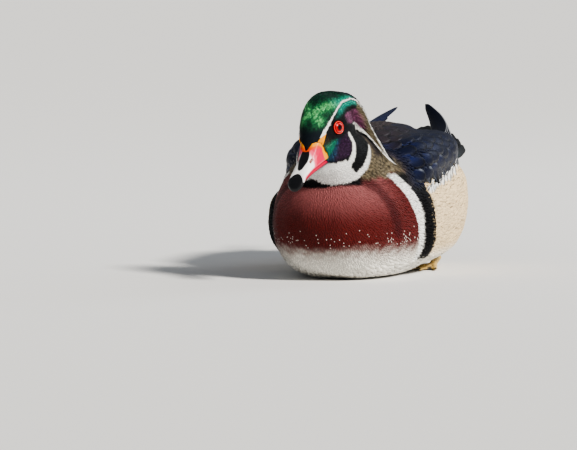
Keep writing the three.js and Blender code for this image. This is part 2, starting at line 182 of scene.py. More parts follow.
# lines and patches on the head as seen from its side: (forward, up)
headMarks = {
    "crownBand": [
        (12.5, 9, 15), (10, 3, 18.8), (6.4, 3.5, 20.6), (0, 9, 21), (-4.8, 12.5, 20.4), (-15, 16, 18.6),
        (-28, 18, 14.5),
    ],
    "overEye": [
        (18.5, 1.2), (13.7, 5.4), (7.5, 8.8), (0, 12.7), (-8.6, 15.6), (-19, 16.8), (-27, 15.4), (-34, 10.5),
        (-40, 2.5), (-44.5, -8), (-47, -18), (-48.5, -30), (-51.5, -45), (-54, -60),
    ],
    "behindEye": [(-18.9, -4.6), (-27, -7), (-35, -13), (-40, -23), (-43, -32), (-46.5, -41), (-50, -49), (-54, -60)],
    "cheekBar": [(-8.9, -7.4), (-9.6, -12), (-7.8, -16), (-3.0, -21.5), (3.2, -27.4), (8.2, -31)],
    "collar": [(8.6, -43.2), (0.5, -42.2), (-6.9, -38.6), (-14.7, -34), (-22.8, -30.5), (-26.2, -28.4)],
    "throat": [
        (26, -18), (20, -21.5), (16.2, -24.3), (12.7, -25.2), (8.1, -25.0), (6.5, -28), (6.0, -33), (4.0, -38),
        (3.0, -43), (8.6, -45.5), (16.6, -44.2), (20, -40), (24, -33), (30, -24),
    ],
    "purplePatch": [
        (-6, 7.5), (-14, 7.8), (-31, 4), (-41, -8), (-44, -22), (-40, -20), (-33, -9), (-26, -4), (-17, -2.5),
        (-9, 0.5),
    ],
}


billMarks = {
    "forehead": [  # half width of the black wedge
        (12, 14.6), (15, 12.9), (17.5, 11.4), (21.5, 9.0), (26.1, 6.0), (29.2, 3.2), (31.4, 0.6), (32, -1),
    ],
    "rear": [  # by height
        (-21, 19.4), (-19.8, 19.9), (-16.4, 21.0), (-13.3, 21.4), (-8.6, 21.1), (-5, 20.1), (-2, 18.2),
        (1, 16.0), (3.3, 14.0), (6, 11),
    ],
    "saddle": [(29.5, 2.2), (31, 3.4), (33, 4.1), (36, 4.5), (39, 4.4), (43, 3.4), (47, 2.2), (49, 0), (50, -2)],
    "pinkEdge": [(-22, 43), (-18.5, 39.5), (-15, 36.2), (-10, 34), (-6, 32), (0, 30)],  # by height
    "mouth": [(14, -20), (24, -18.8), (40, -18.6), (52, -19.8), (59, -22.6), (62.5, -25)],
}


def bareBill(h):
    # the naked part of the head that belongs to the bill
    f, l, u = h[:, 0], np.abs(h[:, 1]), h[:, 2]
    return (l > curve(billMarks["forehead"], f)) & (f > curve(billMarks["rear"], u)) & (u < 4.5) & (u > -21.5)


def billColour(p):
    h = toHead(p)
    f, l, u = h[:, 0], np.abs(h[:, 1]), h[:, 2]
    fromRear = f - curve(billMarks["rear"], u)
    fromWedge = l - curve(billMarks["forehead"], f)
    edge = f - curve(billMarks["pinkEdge"], u)
    c = mix(paint["billPink"], paint["billRose"], smooth(-4.5, -0.5, edge + (blotches(p, 3, 51) - 0.5) * 2) * 0.75)
    c = mix(c, paint["billWhite"], smooth(-0.8, 1.8, edge))
    rim = smooth(3.2, 1.6, u - curve(billMarks["mouth"], f))
    c = mix(c, mix(paint["billRose"], paint["billPink"], 0.55), rim * smooth(58, 52, f))
    c = mix(c, paint["billOrange"], smooth(2.7, 1.3, fromWedge) * smooth(21, 26, f) * smooth(34, 31.5, f))
    rearStripe = smooth(1.5, 0.95, fromRear) * smooth(-20, -18, u)
    wedgeStripe = smooth(2.3, 1.4, fromWedge + 0.16 * (f - 18)) * smooth(29.5, 26, f)
    c = mix(c, paint["billYellow"], np.maximum(rearStripe, wedgeStripe))
    saddle = smooth(0.35, -0.35, l - curve(billMarks["saddle"], f)) * smooth(30.9, 31.9, f + 0.25 * l)
    c = mix(c, paint["black"], saddle)
    seam = smooth(1.2, 0.6, np.abs(f + 0.25 * l - 30.9)) * smooth(4.6, 3.6, l)
    c = mix(c, paint["billOrange"], seam * 0.8)
    nail = smooth(-0.3, 0.3, f - 51.6 - 0.115 * l * l)
    c = mix(c, paint["black"], nail)
    return c, nail


def headColour(p):
    h = toHead(p)
    f, l, u = h[:, 0], np.abs(h[:, 1]), h[:, 2]
    side = np.stack([f, u], -1)
    wobble = (blotches(p, 5, 3) - 0.5) * 1.4
    c = np.tile(np.array(paint["black"]), (len(p), 1))
    shine = np.full(len(p), 0.35)
    line, along = lineDistance(side, headMarks["overEye"])
    edge = curve(headMarks["overEye"][::-1], f)
    above = (u > edge) | ((f > -30) & (l < 11) & (u > 2)) | ((f > 18) & (l < 9) & (u > -10))
    speckle = blotches(p, 1.1, 61) * blotches(p, 2.3, 62) * 2
    # crown: near black, with a stippled green band that turns to turquoise at the rear; the band is the crown's own
    # green brightened as painted highlight, with painted lime highlight along its front part
    crown = mix(paint["crownNavy"], paint["crownGreen"], 0.30 * speckle * smooth(-34, -20, f) * smooth(6, 12, u))
    arc, arcAlong = lineDistance(np.stack([f, l, u], -1), headMarks["crownBand"])
    glow = np.exp(-((arc / curve([(0, 5.2), (0.5, 4.6), (1, 3.2)], arcAlong)) ** 2))
    crown = mix(crown, paint["crownGreen"], np.clip(glow * (0.45 + speckle), 0, 1))
    crown = mix(crown, paint["crownHighlight"], np.clip(glow ** 2 * (speckle * 1.5 - 0.25) * smooth(1.0, 0.7, arcAlong), 0, 1))
    crown = mix(crown, paint["teal"], np.clip(glow * smooth(0.62, 0.85, arcAlong), 0, 1))
    c = np.where(above[:, None], crown, c)
    # under the line: black by the eye, teal, purple, then bronze along the crest
    below = ~above
    tealBand = np.exp(-(((edge - u) - 3.2) / 2.3) ** 2) * smooth(2, -14, f) * smooth(-40, -30, f) * (0.55 + 0.6 * speckle)
    c = np.where(below[:, None], mix(c, paint["teal"], np.clip(tealBand * 1.1, 0, 1)), c)
    patch = inside(side + wobble[:, None] * 0.6, headMarks["purplePatch"]) & below
    lilac = np.array(paint["purple"])[None] * (0.45 + 1.3 * speckle)[:, None]
    c = np.where(patch[:, None], mix(paint["black"], lilac, smooth(-9, -15, f)), c)
    c = mix(c, paint["bronze"], smooth(7.5, 4, line) * ((f < -33) & below) * 0.75)
    # cheek: green in front, then blue, then purple, black at its edges
    across = (15 - f) * 0.79 + (-8 - u) * 0.61
    cheek = mix(paint["cheekGreen"], paint["cheekBlue"], smooth(4, 7.5, across + wobble))
    cheek = mix(cheek, paint["cheekPurple"], smooth(8, 11.5, across + wobble))
    bar, barAlong = lineDistance(side, headMarks["cheekBar"])
    barFront = [(-31, 8.2), (-27.4, 3.2), (-21.5, -3), (-16, -7.8), (-12, -9.6), (-7.4, -8.9)]
    frontOfBar = (f > curve(barFront, u)) & (u < 2)
    strength = smooth(-3.5, -8.5, u + wobble) * smooth(-25, -21, u) * smooth(20.5, 16, f) * frontOfBar
    eyeGap = np.hypot(f - 0.6, u - 2)
    strength *= smooth(7.5, 11.5, eyeGap) * (0.25 + 0.75 * smooth(1.5, 4.5, bar))
    c = mix(c, cheek * (0.5 + 1.1 * speckle)[:, None], strength * below)
    c = mix(c, paint["bronze"], 0.25 * speckle * smooth(11, 14, f) * smooth(2, -2, u) * smooth(-11, -7, u) * below)
    # white marks
    white = line < curve([(0, 1.25), (0.1, 1.1), (0.22, 0.65), (0.5, 0.55), (0.65, 0.65), (0.85, 0.8), (1, 0.8)], along)
    second, secondAlong = lineDistance(side, headMarks["behindEye"])
    white |= (second < curve([(0, 0.5), (0.1, 0.85), (0.3, 1.05), (0.5, 0.75), (1, 0.8)], secondAlong)) & below
    white |= (bar < curve([(0, 0.8), (0.12, 1.4), (0.5, 1.55), (1, 2.2)], barAlong)) & (l > 8)
    collar, collarAlong = lineDistance(side, headMarks["collar"])
    white |= (collar < curve([(0, 3.6), (0.35, 2.9), (0.75, 2.0), (1, 1.0)], collarAlong)) & (l > 8)
    droop = 0.55 * np.clip(-h[:, 1], 0, 9) * smooth(4, 10, f) * smooth(-28, -34, u)  # lower on the right side
    ragged = (blotches(p, 1.7, 21) - 0.5) * 2.2
    white |= inside(np.stack([f, u - droop + ragged], -1), headMarks["throat"]) & below & (f < 25)
    c[white] = paint["white"]
    shine[white] = 0
    bare = bareBill(h)
    c[bare] = billColour(p)[0][bare]
    shine[bare] = 0
    shine = shine * smooth(0.01, 0.05, c.max(1))
    return c, shine


bodyMarks = {  # by height: how far back each edge is, plus 0.6 of how far out it is past 60
    "whiteFront": [
        (5, 94), (20, 92), (38, 88.5), (45, 85.5), (54, 81.5), (64, 73.4), (72.6, 67), (79.7, 58.8), (83, 54.3),
        (88, 48),
    ],
    "whiteRear": [(5, 101), (20, 99), (38, 96.6), (47, 96.5), (55, 96), (63, 94), (72, 86.5), (79.4, 77.5), (86.7, 65)],
    "blackRear": [(5, 115), (38, 112), (48, 111.5), (56, 110.5), (66, 112), (75, 116), (79.6, 110), (85, 99)],
    "flankTop": [(100, 74), (125, 79.5), (153, 82.5), (170, 84), (186, 87), (208, 92.5), (245, 96)],
}


def bodyColour(p):
    b = toBody(p)
    a, u, z = b[:, 0], np.abs(b[:, 1]), b[:, 2]
    wobble = (blotches(p, 9, 2) - 0.5) * 3
    w = a + 0.6 * (u - 60) + 3.5  # the feathers reach back over the next band
    # painted sheen: the upper front of the breast is lighter, mauve, where the light catches it
    c = mix(paint["chestnut"], paint["breastSheen"], smooth(46, 84, z) * smooth(66, 25, a) * 0.8)
    # painted shade: a dark maroon line down each side of the breast, in the crease between its middle and the shoulder
    shadedFold = [(30, 30, 86), (36, 42.5, 77), (39, 48, 70), (42, 52, 62), (46, 54.5, 52), (49, 56, 42)]
    fromShadedFold, _ = lineDistance(np.stack([a, u, z], -1), shadedFold)
    c = mix(c, paint["foldShade"], 0.75 * smooth(9, 2, fromShadedFold))
    shine = np.full(len(p), 0.12)
    # belly, with the breast breaking up into white flecks towards it
    low = smooth(34, 13, z + wobble * 1.6)
    c = mix(c, paint["belly"], low * smooth(8, 22, a + (30 - z)))
    front, whiteEnd, blackEnd = (curve(bodyMarks[k], z) for k in ("whiteFront", "whiteRear", "blackRear"))
    behind = (w > blackEnd) & (z < curve(bodyMarks["flankTop"], a) + 1)
    flank = mix(paint["buff"], paint["belly"], smooth(26, 10, z))
    c = np.where(behind[:, None], flank, c)
    banded = (z > 14 + wobble) & (z < 90)
    c = np.where(((w > whiteEnd) & (w <= blackEnd) & banded)[:, None], np.array(paint["black"]), c)
    c = np.where(((w > front) & (w <= whiteEnd) & banded & (z < 89))[:, None], np.array(paint["white"]), c)
    # neck sides and shoulders
    shoulderLine = curve([(0, 84), (20, 86), (38, 86), (56, 86.5), (62, 89), (200, 89)], a)
    shoulder = smooth(-1.5, 2.5, z - shoulderLine + wobble * 0.8) * (w < 140)
    streak = 0.6 * blotches(p * np.array([1, 0.5, 1]), 1.9, 31) + 0.4 * blotches(p, 4.6, 32)
    dark = mix(paint["oliveDark"], paint["olive"], 0.14)
    c = mix(c, mix(dark, paint["olive"], smooth(0.42, 0.62, streak)), shoulder)
    # painted shadow: black on the chestnut under the throat's lower edge
    under = np.hypot(a - 22, u * 0.8)
    c = mix(c, paint["black"], smooth(25.5, 22, under) * smooth(80.5, 82.5, z))
    # back and wings
    over = (z > curve(bodyMarks["flankTop"], a) + 1) & (a > 74)
    wing = mix(paint["wing"], paint["wingBlue"], 0.5 * smooth(0.55, 0.95, blotches(p, 22, 41)))
    back = mix(wing, paint["mantle"], np.maximum(smooth(34, 18, u) * smooth(60, 110, z), smooth(96, 74, a)))
    c = mix(c, back, np.where(over, smooth(74, 92, a), 0))
    c = mix(c, back, smooth(100, 108, z) * smooth(35, 55, a))
    shine = np.where(over, 0.5, shine)
    # rump, under tail, and the plum patch behind the flank
    tail = smooth(234, 246, a + 0.22 * (z - 50) + wobble * 0.8)
    c = mix(c, mix(paint["underTail"], paint["rump"], smooth(62, 78, z)), tail)
    plum = smooth(1.15, 0.8, np.hypot((a - 247 + 0.35 * (z - 76)) / 15, (z - 76) / 19) + wobble * 0.05) * smooth(22, 30, u)
    c = mix(c, paint["plum"], plum)
    return c, shine


crestSpine = np.array([  # forward, left, up
    (-8, 0, 13), (-23, 0, 13.5), (-36.5, 1, 4), (-44, 5, -14), (-49, 12, -35), (-53, 18, -51), (-55, 22, -62),
], float)


def headShare(p):
    # which points are on the head, crest and upper neck, and which on the free part of the crest
    h = toHead(p)
    f, u = h[:, 0], h[:, 2]
    onHead = (u > curve([(-60, -10), (-40, -14), (-26, -30), (-22, -32), (-10, -40), (3, -45.5), (30, -45.5)], f)) & (f > -42)
    crest, along = lineDistance(h, crestSpine)
    onCrest = crest < curve([(0, 22), (0.2, 20), (0.4, 18), (0.6, 14), (0.8, 10.5), (0.93, 8), (1, 6)], along)
    near = (np.linalg.norm(p - headPlace, axis=1) < 110) & (toBody(p)[:, 0] < 82)
    return ((onHead & (toBody(p)[:, 0] < 62)) | (onCrest & (f < -20))) & near, onCrest & (f < -30)


def plumage(p):
    onHead, _ = headShare(p)
    c, shine = bodyColour(p)
    hc, hs = headColour(p)
    c[onHead] = hc[onHead]
    shine[onHead] = hs[onHead]
    return c, shine


# the lie of the feathers: guides of a place and the way feathers run there

bodyGuides = [  # (back, left, up), then direction; each is mirrored to the other side
    ((0, 0, 60), (0.1, 0, -1)), ((6, 24, 76), (0.3, 0.5, -0.8)), ((18, 0, 88), (-0.5, 0, -0.9)),
    ((14, 0, 20), (0.8, 0, -0.5)), ((12, 26, 45), (0.6, 0.4, -0.6)), ((30, 45, 60), (0.8, 0.35, -0.4)),
    ((50, 52, 40), (1, 0.2, -0.2)), ((70, 58, 75), (1, 0.2, -0.25)), ((100, 72, 50), (1, 0, -0.05)),
    ((100, 40, 3), (1, 0, 0)), ((100, 0, 0), (1, 0, 0)), ((160, 74, 50), (1, 0, 0.05)),
    ((160, 60, 82), (1, 0, 0.12)), ((160, 0, 0), (1, 0, 0)), ((130, 0, 126), (1, 0, 0)),
    ((120, 30, 118), (1, 0, 0.03)), ((200, 36, 116), (1, -0.1, 0)), ((225, 70, 60), (1, -0.12, 0.15)),
    ((240, 35, 108), (1, -0.3, 0)), ((255, 42, 60), (1, -0.3, 0.3)), ((250, 0, 20), (1, 0, 0.6)),
    ((290, 0, 62), (1, 0, 0.5)), ((290, 0, 100), (1, 0, 0)), ((50, 42, 92), (0.85, 0.45, -0.45)),
    ((34, 34, 100), (0.55, 0.35, -0.8)), ((62, 12, 116), (1, 0.1, -0.1)), ((10, 0, 88), (-0.2, 0, -1)),
    ((80, 45, 100), (1, 0.25, -0.25)),
]
headGuides = [  # (forward, left, up), then direction; each is mirrored to the other side
    ((27, 0, 0), (-0.75, 0, 0.65)), ((14, 0, 15), (-0.75, 0, 0.65)), ((2, 0, 24), (-0.95, 0, 0.25)),
    ((-14, 0, 27), (-1, 0, 0)), ((8, 15, 10), (-1, 0.05, 0.25)), ((20, 11, -6), (-1, 0.4, 0.05)),
    ((12, 15.5, -8), (-1, 0.25, -0.12)), ((0, 18, 11), (-1, 0, 0.1)), ((-10, 19.5, 0), (-1, 0, -0.05)),
    ((5, 20, -18), (-0.85, 0.2, -0.5)), ((-8, 23, -16), (-0.9, 0, -0.45)), ((21, 0, -24), (-0.8, 0, -0.6)),
    ((15, 0, -38), (-0.25, 0, -1)), ((5, 22, -38), (-0.55, 0.3, -0.8)), ((-15, 29, -34), (-0.6, 0.2, -0.8)),
    ((-26, 18, 8), (-1, 0, -0.2)), ((-24, 20, -10), (-0.9, 0, -0.45)),
]


def guideTable():
    places, ways = [], []
    for mirror in (1, -1):
        for place, way in bodyGuides:
            places.append((place[1] * mirror, place[0] + breastY, place[2]))
            ways.append((way[1] * mirror, way[0], way[2]))
        for place, way in headGuides:
            flip = np.array([1, mirror, 1])
            places.append(fromHead(np.array(place) * flip))
            ways.append(headDirection(np.array(way) * flip))
    for i in range(2, len(crestSpine)):
        for side in (-6, 0, 6):
            places.append(fromHead(crestSpine[i] + np.array([0, side, 0])))
            ways.append(headDirection(unit(crestSpine[i] - crestSpine[i - 1])))
    return np.array(places, float), unit(ways)


guidePlaces, guideWays = guideTable()


def lie(p, n):
    way = np.zeros_like(p)
    for s in range(0, len(p), 4000):
        d2 = ((p[s:s + 4000, None] - guidePlaces[None]) ** 2).sum(-1)
        k = 1 / (d2 + 20) ** 2.2
        way[s:s + 4000] = (k[..., None] * guideWays[None]).sum(1)
    way -= (way * n).sum(-1, keepdims=True) * n
    return unit(way)


# meshes in and out of Blender


def readMesh(mesh):
    v = np.empty(len(mesh.vertices) * 3)
    mesh.vertices.foreach_get("co", v)
    return v.reshape(-1, 3)


def writeVertices(mesh, v):
    mesh.vertices.foreach_set("co", np.ascontiguousarray(v, float).ravel())
    mesh.update()


def normalsOf(mesh):
    n = np.empty(len(mesh.vertices) * 3)
    mesh.vertex_normals.foreach_get("vector", n)
    return n.reshape(-1, 3)


def edgesOf(mesh):
    e = np.empty(len(mesh.edges) * 2, int)
    mesh.edges.foreach_get("vertices", e)
    return e.reshape(-1, 2)


def relax(v, edges, steps):
    # moves each point halfway to the middle of its neighbours, steps times over
    one, other = edges.T
    count = np.bincount(edges.ravel(), minlength=len(v))[:, None].clip(1)
    for _ in range(steps):
        total = np.zeros_like(v)
        for axis in range(3):
            total[:, axis] = np.bincount(one, v[other, axis], len(v)) + np.bincount(other, v[one, axis], len(v))
        v = v + (total / count - v) * 0.5
    return v


def addObject(name, mesh):
    obj = bpy.data.objects.new(name, mesh)
    bpy.context.scene.collection.objects.link(obj)
    return obj


def shadeSmooth(mesh):
    mesh.polygons.foreach_set("use_smooth", np.ones(len(mesh.polygons), bool))


def faceOutward(mesh, mostCorners=4):
    # turns every face outward, and splits faces with more corners than that
    bm = bmesh.new()
    bm.from_mesh(mesh)
    bmesh.ops.recalc_face_normals(bm, faces=bm.faces)
    large = [q for q in bm.faces if len(q.verts) > mostCorners]
    if large:
        bmesh.ops.triangulate(bm, faces=large)
    bm.to_mesh(mesh)
    bm.free()


def setColour(mesh, name, rgb):
    data = mesh.attributes.new(name, "FLOAT_COLOR", "POINT")
    data.data.foreach_set("color", np.concatenate([rgb, np.ones((len(rgb), 1))], 1).astype(np.float32).ravel())


def setNumber(mesh, name, values):
    data = mesh.attributes.new(name, "FLOAT", "POINT")
    data.data.foreach_set("value", np.asarray(values, np.float32))


def setVector(mesh, name, values):
    data = mesh.attributes.new(name, "FLOAT_VECTOR", "POINT")
    data.data.foreach_set("vector", np.asarray(values, np.float32).ravel())


def getNumber(mesh, name):
    out = np.empty(len(mesh.attributes[name].data), np.float32)
    mesh.attributes[name].data.foreach_get("value", out)
    return out


def mergedCopy(*nodes, grow=0.0):
    bm = bmesh.new()
    for name in nodes:
        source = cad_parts[name]
        part = bmesh.new()
        part.from_mesh(source.data)
        part.transform(source.matrix_world)
        bmesh.ops.remove_doubles(part, verts=part.verts, dist=2e-6)
        part.normal_update()
        if grow:
            for v in part.verts:
                v.co += v.normal * grow * mm
        temp = bpy.data.meshes.new("temp")
        part.to_mesh(temp)
        part.free()
        bm.from_mesh(temp)
        bpy.data.meshes.remove(temp)
    mesh = bpy.data.meshes.new("merged")
    bm.to_mesh(mesh)
    bm.free()
    return mesh


def evaluatedCopy(obj):
    graph = bpy.context.evaluated_depsgraph_get()
    mesh = bpy.data.meshes.new_from_object(obj.evaluated_get(graph), depsgraph=graph)
    obj.modifiers.clear()
    old = obj.data
    obj.data = mesh
    if old.users == 0:
        bpy.data.meshes.remove(old)
    return mesh


def remeshed(name, mesh, size):
    obj = addObject(name, mesh)
    mod = obj.modifiers.new("fine", "REMESH")
    mod.mode = "VOXEL"
    mod.voxel_size = size * mm
    mod.adaptivity = 0
    evaluatedCopy(obj)
    return obj


# materials


def shaderGroup(name, inputs, outputs):
    group = bpy.data.node_groups.new(name, "ShaderNodeTree")
    for label, kind, value in inputs:
        socket = group.interface.new_socket(name=label, in_out="INPUT", socket_type=kind)
        socket.default_value = value
    for label, kind in outputs:
        group.interface.new_socket(name=label, in_out="OUTPUT", socket_type=kind)
    return group


def node(tree, kind, inputs=None, **settings):
    # makes a node; each input, by name or number, is linked to a socket or given a value
    made = tree.nodes.new(kind)
    for key, value in settings.items():
        setattr(made, key, value)
    for key, value in (inputs or {}).items():
        if isinstance(value, bpy.types.NodeSocket):
            tree.links.new(value, made.inputs[key])
        else:
            made.inputs[key].default_value = value
    return made


def maths(tree, operation, *values):
    return node(tree, "ShaderNodeMath", dict(enumerate(values)), operation=operation).outputs[0]


# fine barbs across a feather's vane, read from its own place along and across
barbGroup = shaderGroup(
    "feather barbs",
    [("Strength", "NodeSocketFloat", 0.3), ("Fineness", "NodeSocketFloat", 14.0)],
    [("Shade", "NodeSocketFloat"), ("Height", "NodeSocketFloat")],
)


def fillBarbGroup():
    t = barbGroup
    put = node(t, "NodeGroupInput").outputs
    vane = node(t, "ShaderNodeAttribute", attribute_name="Vane")
    across, along, which = node(t, "ShaderNodeSeparateXYZ", {0: vane.outputs["Vector"]}).outputs
    slant = maths(t, "MULTIPLY_ADD", maths(t, "ABSOLUTE", across), -0.55, along)
    place = node(t, "ShaderNodeCombineXYZ", {0: maths(t, "MULTIPLY", slant, put["Fineness"]), 1: which, 2: across})
    noise = node(t, "ShaderNodeTexNoise", {"Vector": place.outputs[0], "Scale": 1.6, "Detail": 2}, noise_dimensions="3D").outputs[0]
    strong = maths(t, "MULTIPLY", maths(t, "SUBTRACT", noise, 0.5), put["Strength"])
    node(t, "NodeGroupOutput", {"Shade": maths(t, "MULTIPLY_ADD", strong, 2.0, 1.0), "Height": noise})


fillBarbGroup()


def plumageMaterial(name, values):
    # values go on the shader's own sockets; the colour comes from the mesh
    mat = bpy.data.materials.new(name)
    mat.use_nodes = True
    t = mat.node_tree
    shader = t.nodes["Principled BSDF"]
    for key, value in values.items():
        shader.inputs[key].default_value = value
    colour = node(t, "ShaderNodeAttribute", attribute_name="Plumage").outputs["Color"]
    return mat, t, shader.inputs, colour


def featherMaterial(name, look):
    mat, t, shader, colour = plumageMaterial(name, {"Roughness": look["rough"], "Specular IOR Level": look["spec"]})
    barbs = node(t, "ShaderNodeGroup", node_tree=barbGroup)
    barbs.inputs["Strength"].default_value = look["barbs"]
    barbs.inputs["Fineness"].default_value = look["fineness"]
    times = node(t, "ShaderNodeVectorMath", {0: colour, "Scale": barbs.outputs["Shade"]}, operation="SCALE")
    t.links.new(times.outputs[0], shader["Base Color"])
    bump = node(t, "ShaderNodeBump", {"Strength": look["bump"], "Distance": 0.0004, "Height": barbs.outputs["Height"]})
    t.links.new(bump.outputs[0], shader["Normal"])
    gloss = node(t, "ShaderNodeAttribute", attribute_name="Gloss").outputs["Fac"]
    t.links.new(maths(t, "MULTIPLY", gloss, look["metal"]), shader["Metallic"])
    return mat


featherLooks = {
    "soft": {"barbs": 0.3, "fineness": 9, "bump": 0.3, "metal": 0.25, "rough": 0.58, "spec": 0.10},
    "glossy": {"barbs": 0.5, "fineness": 7, "bump": 0.3, "metal": 0.8, "rough": 0.42, "spec": 0.10},
    "wing": {"barbs": 0.55, "fineness": 26, "bump": 0.35, "metal": 0.3, "rough": 0.40, "spec": 0.09},
}
softFeather, glossyFeather, wingFeather = (featherMaterial(f"{k} feathers", v) for k, v in featherLooks.items())


def skinMaterial():
    mat, t, shader, colour = plumageMaterial("skin under the feathers", {"Roughness": 0.8, "Specular IOR Level": 0.2})
    t.links.new(colour, shader["Base Color"])
    return mat


# the skin: one surface under all the feathers

skinShape = {  # millimetres, rounds of smoothing, and the box beside the bill that gets finer faces
    "voxel": 1.65, "bridge": 0.35, "bodyDepth": 1.1, "headDepth": 0.6, "bareDepth": 0.15, "clearance": 0.9, "shade": 0.75,
    "bodyRounds": 22, "headRounds": 5, "blendRounds": 12, "normalRounds": 4,
    "besideBill": {"from": 11, "to": 34, "bottom": -22, "top": 7, "cuts": 3},
}


def bodyShare(v, edges):
    # 1 on the body and 0 on the head, blended where they meet
    onHead, _ = headShare(v)
    return relax(np.repeat(~onHead[:, None], 3, 1).astype(float), edges, skinShape["blendRounds"])[:, :1]


def refineBesideBill(mesh, v):
    # finer faces where the naked bill meets the feathers
    box = skinShape["besideBill"]
    h = toHead(v)
    beside = (h[:, 0] > box["from"]) & (h[:, 0] < box["to"]) & (h[:, 2] > box["bottom"]) & (h[:, 2] < box["top"])
    bm = bmesh.new()
    bm.from_mesh(mesh)
    edges = [e for e in bm.edges if beside[e.verts[0].index] and beside[e.verts[1].index]]
    bmesh.ops.subdivide_edges(bm, edges=edges, cuts=box["cuts"], use_grid_fill=True)
    bmesh.ops.triangulate(bm, faces=[q for q in bm.faces if len(q.verts) > 4])
    bm.to_mesh(mesh)
    bm.free()


def makeSkin():
    flesh = ["trunk", "neck", "head", "crest", "wing_left", "wing_right", "flank_left", "flank_right"]
    obj = remeshed("skin", mergedCopy(*flesh, grow=skinShape["bridge"]), skinShape["voxel"])
    mesh = obj.data
    v, edges = readMesh(mesh) / mm, edgesOf(mesh)
    share = bodyShare(v, edges)
    v = relax(v, edges, skinShape["headRounds"]) * (1 - share) + relax(v, edges, skinShape["bodyRounds"]) * share
    writeVertices(mesh, v * mm)
    refineBesideBill(mesh, v)
    v, edges = readMesh(mesh) / mm, edgesOf(mesh)
    share = bodyShare(v, edges)
    depth = skinShape["headDepth"] * (1 - share) + skinShape["bodyDepth"] * share
    depth[bareBill(toHead(v))] = skinShape["bareDepth"]
    v = v - normalsOf(mesh) * depth
    v[:, 2] = np.maximum(v[:, 2], skinShape["clearance"])
    writeVertices(mesh, v * mm)
    shadeSmooth(mesh)
    c, _ = plumage(v)
    # painted shade: the skin under the feathers is darkened, all but the naked bill
    setColour(mesh, "Plumage", np.where(bareBill(toHead(v))[:, None], c, c * skinShape["shade"]))
    setVector(mesh, "softNormal", unit(relax(normalsOf(mesh), edges, skinShape["normalRounds"])))
    mesh.materials.clear()
    mesh.materials.append(skinMaterial())
    print("skin:", len(v), "points")
    return obj


skin = makeSkin()


# one vane, and the tree that lays vanes over the skin


ribs = {  # cross-sections of a vane: place across and height, round a closed loop
    "fine": [(-1, 0), (0, 1.0), (1, 0), (0, -0.15)],
    "broad": [(-1, 0), (-0.55, 0.7), (0, 1.0), (0.55, 0.7), (1, 0), (0, 0.1)],
}


def vaneMesh(name, section, camber, stations):
    # stations are (along, half width); a closed thin leaf of unit length and width, root at the origin
    loop = ribs[section]
    size = len(loop)
    verts, faces = [], []
    for t, w in stations:
        verts += [(s * w, t, h * camber * w * 2) for s, h in loop]
    for i in range(len(stations) - 1):
        for j in range(size):
            a, b = i * size + j, i * size + (j + 1) % size
            faces.append((a, a + size, b + size, b))
    tip = len(verts)
    verts.append((0, 1, 0))
    last = (len(stations) - 1) * size
    for j in range(size):
        faces.append((last + j, tip, last + (j + 1) % size))
    faces.append(tuple(range(size)))
    mesh = bpy.data.meshes.new(name)
    mesh.from_pydata(verts, [], faces)
    faceOutward(mesh, 3)
    v = readMesh(mesh)
    setNumber(mesh, "across", v[:, 0] / 0.5)
    setNumber(mesh, "along", v[:, 1])
    setNumber(mesh, "rise", v[:, 2])
    shadeSmooth(mesh)
    obj = addObject(name, mesh)
    obj.hide_render = True
    return obj


vanes = {
    "tiny": vaneMesh("tinyVane", "fine", 0.09, [(0, 0.25), (0.5, 0.5)]),
    "body": vaneMesh("bodyVane", "fine", 0.08, [(0, 0.2), (0.35, 0.46), (0.72, 0.48), (0.92, 0.26)]),
    "hair": vaneMesh("hairVane", "fine", 0.12, [(0, 0.3), (0.4, 0.5), (0.8, 0.32)]),
    "plume": vaneMesh("plumeVane", "fine", 0.07, [(0, 0.2), (0.25, 0.42), (0.5, 0.5), (0.75, 0.4), (0.92, 0.18)]),
    "broad": vaneMesh("broadVane", "broad", 0.05, [
        (0, 0.14), (0.12, 0.36), (0.35, 0.48), (0.62, 0.5), (0.82, 0.42), (0.93, 0.27), (0.985, 0.12),
    ]),
}


coatInputs = {
    "Geometry": "Geometry", "Vane": "Object", "Skin": "Object", "Follow": "Float", "Root Depth": "Float", "Patch": "Float",
    "Material": "Material",
}


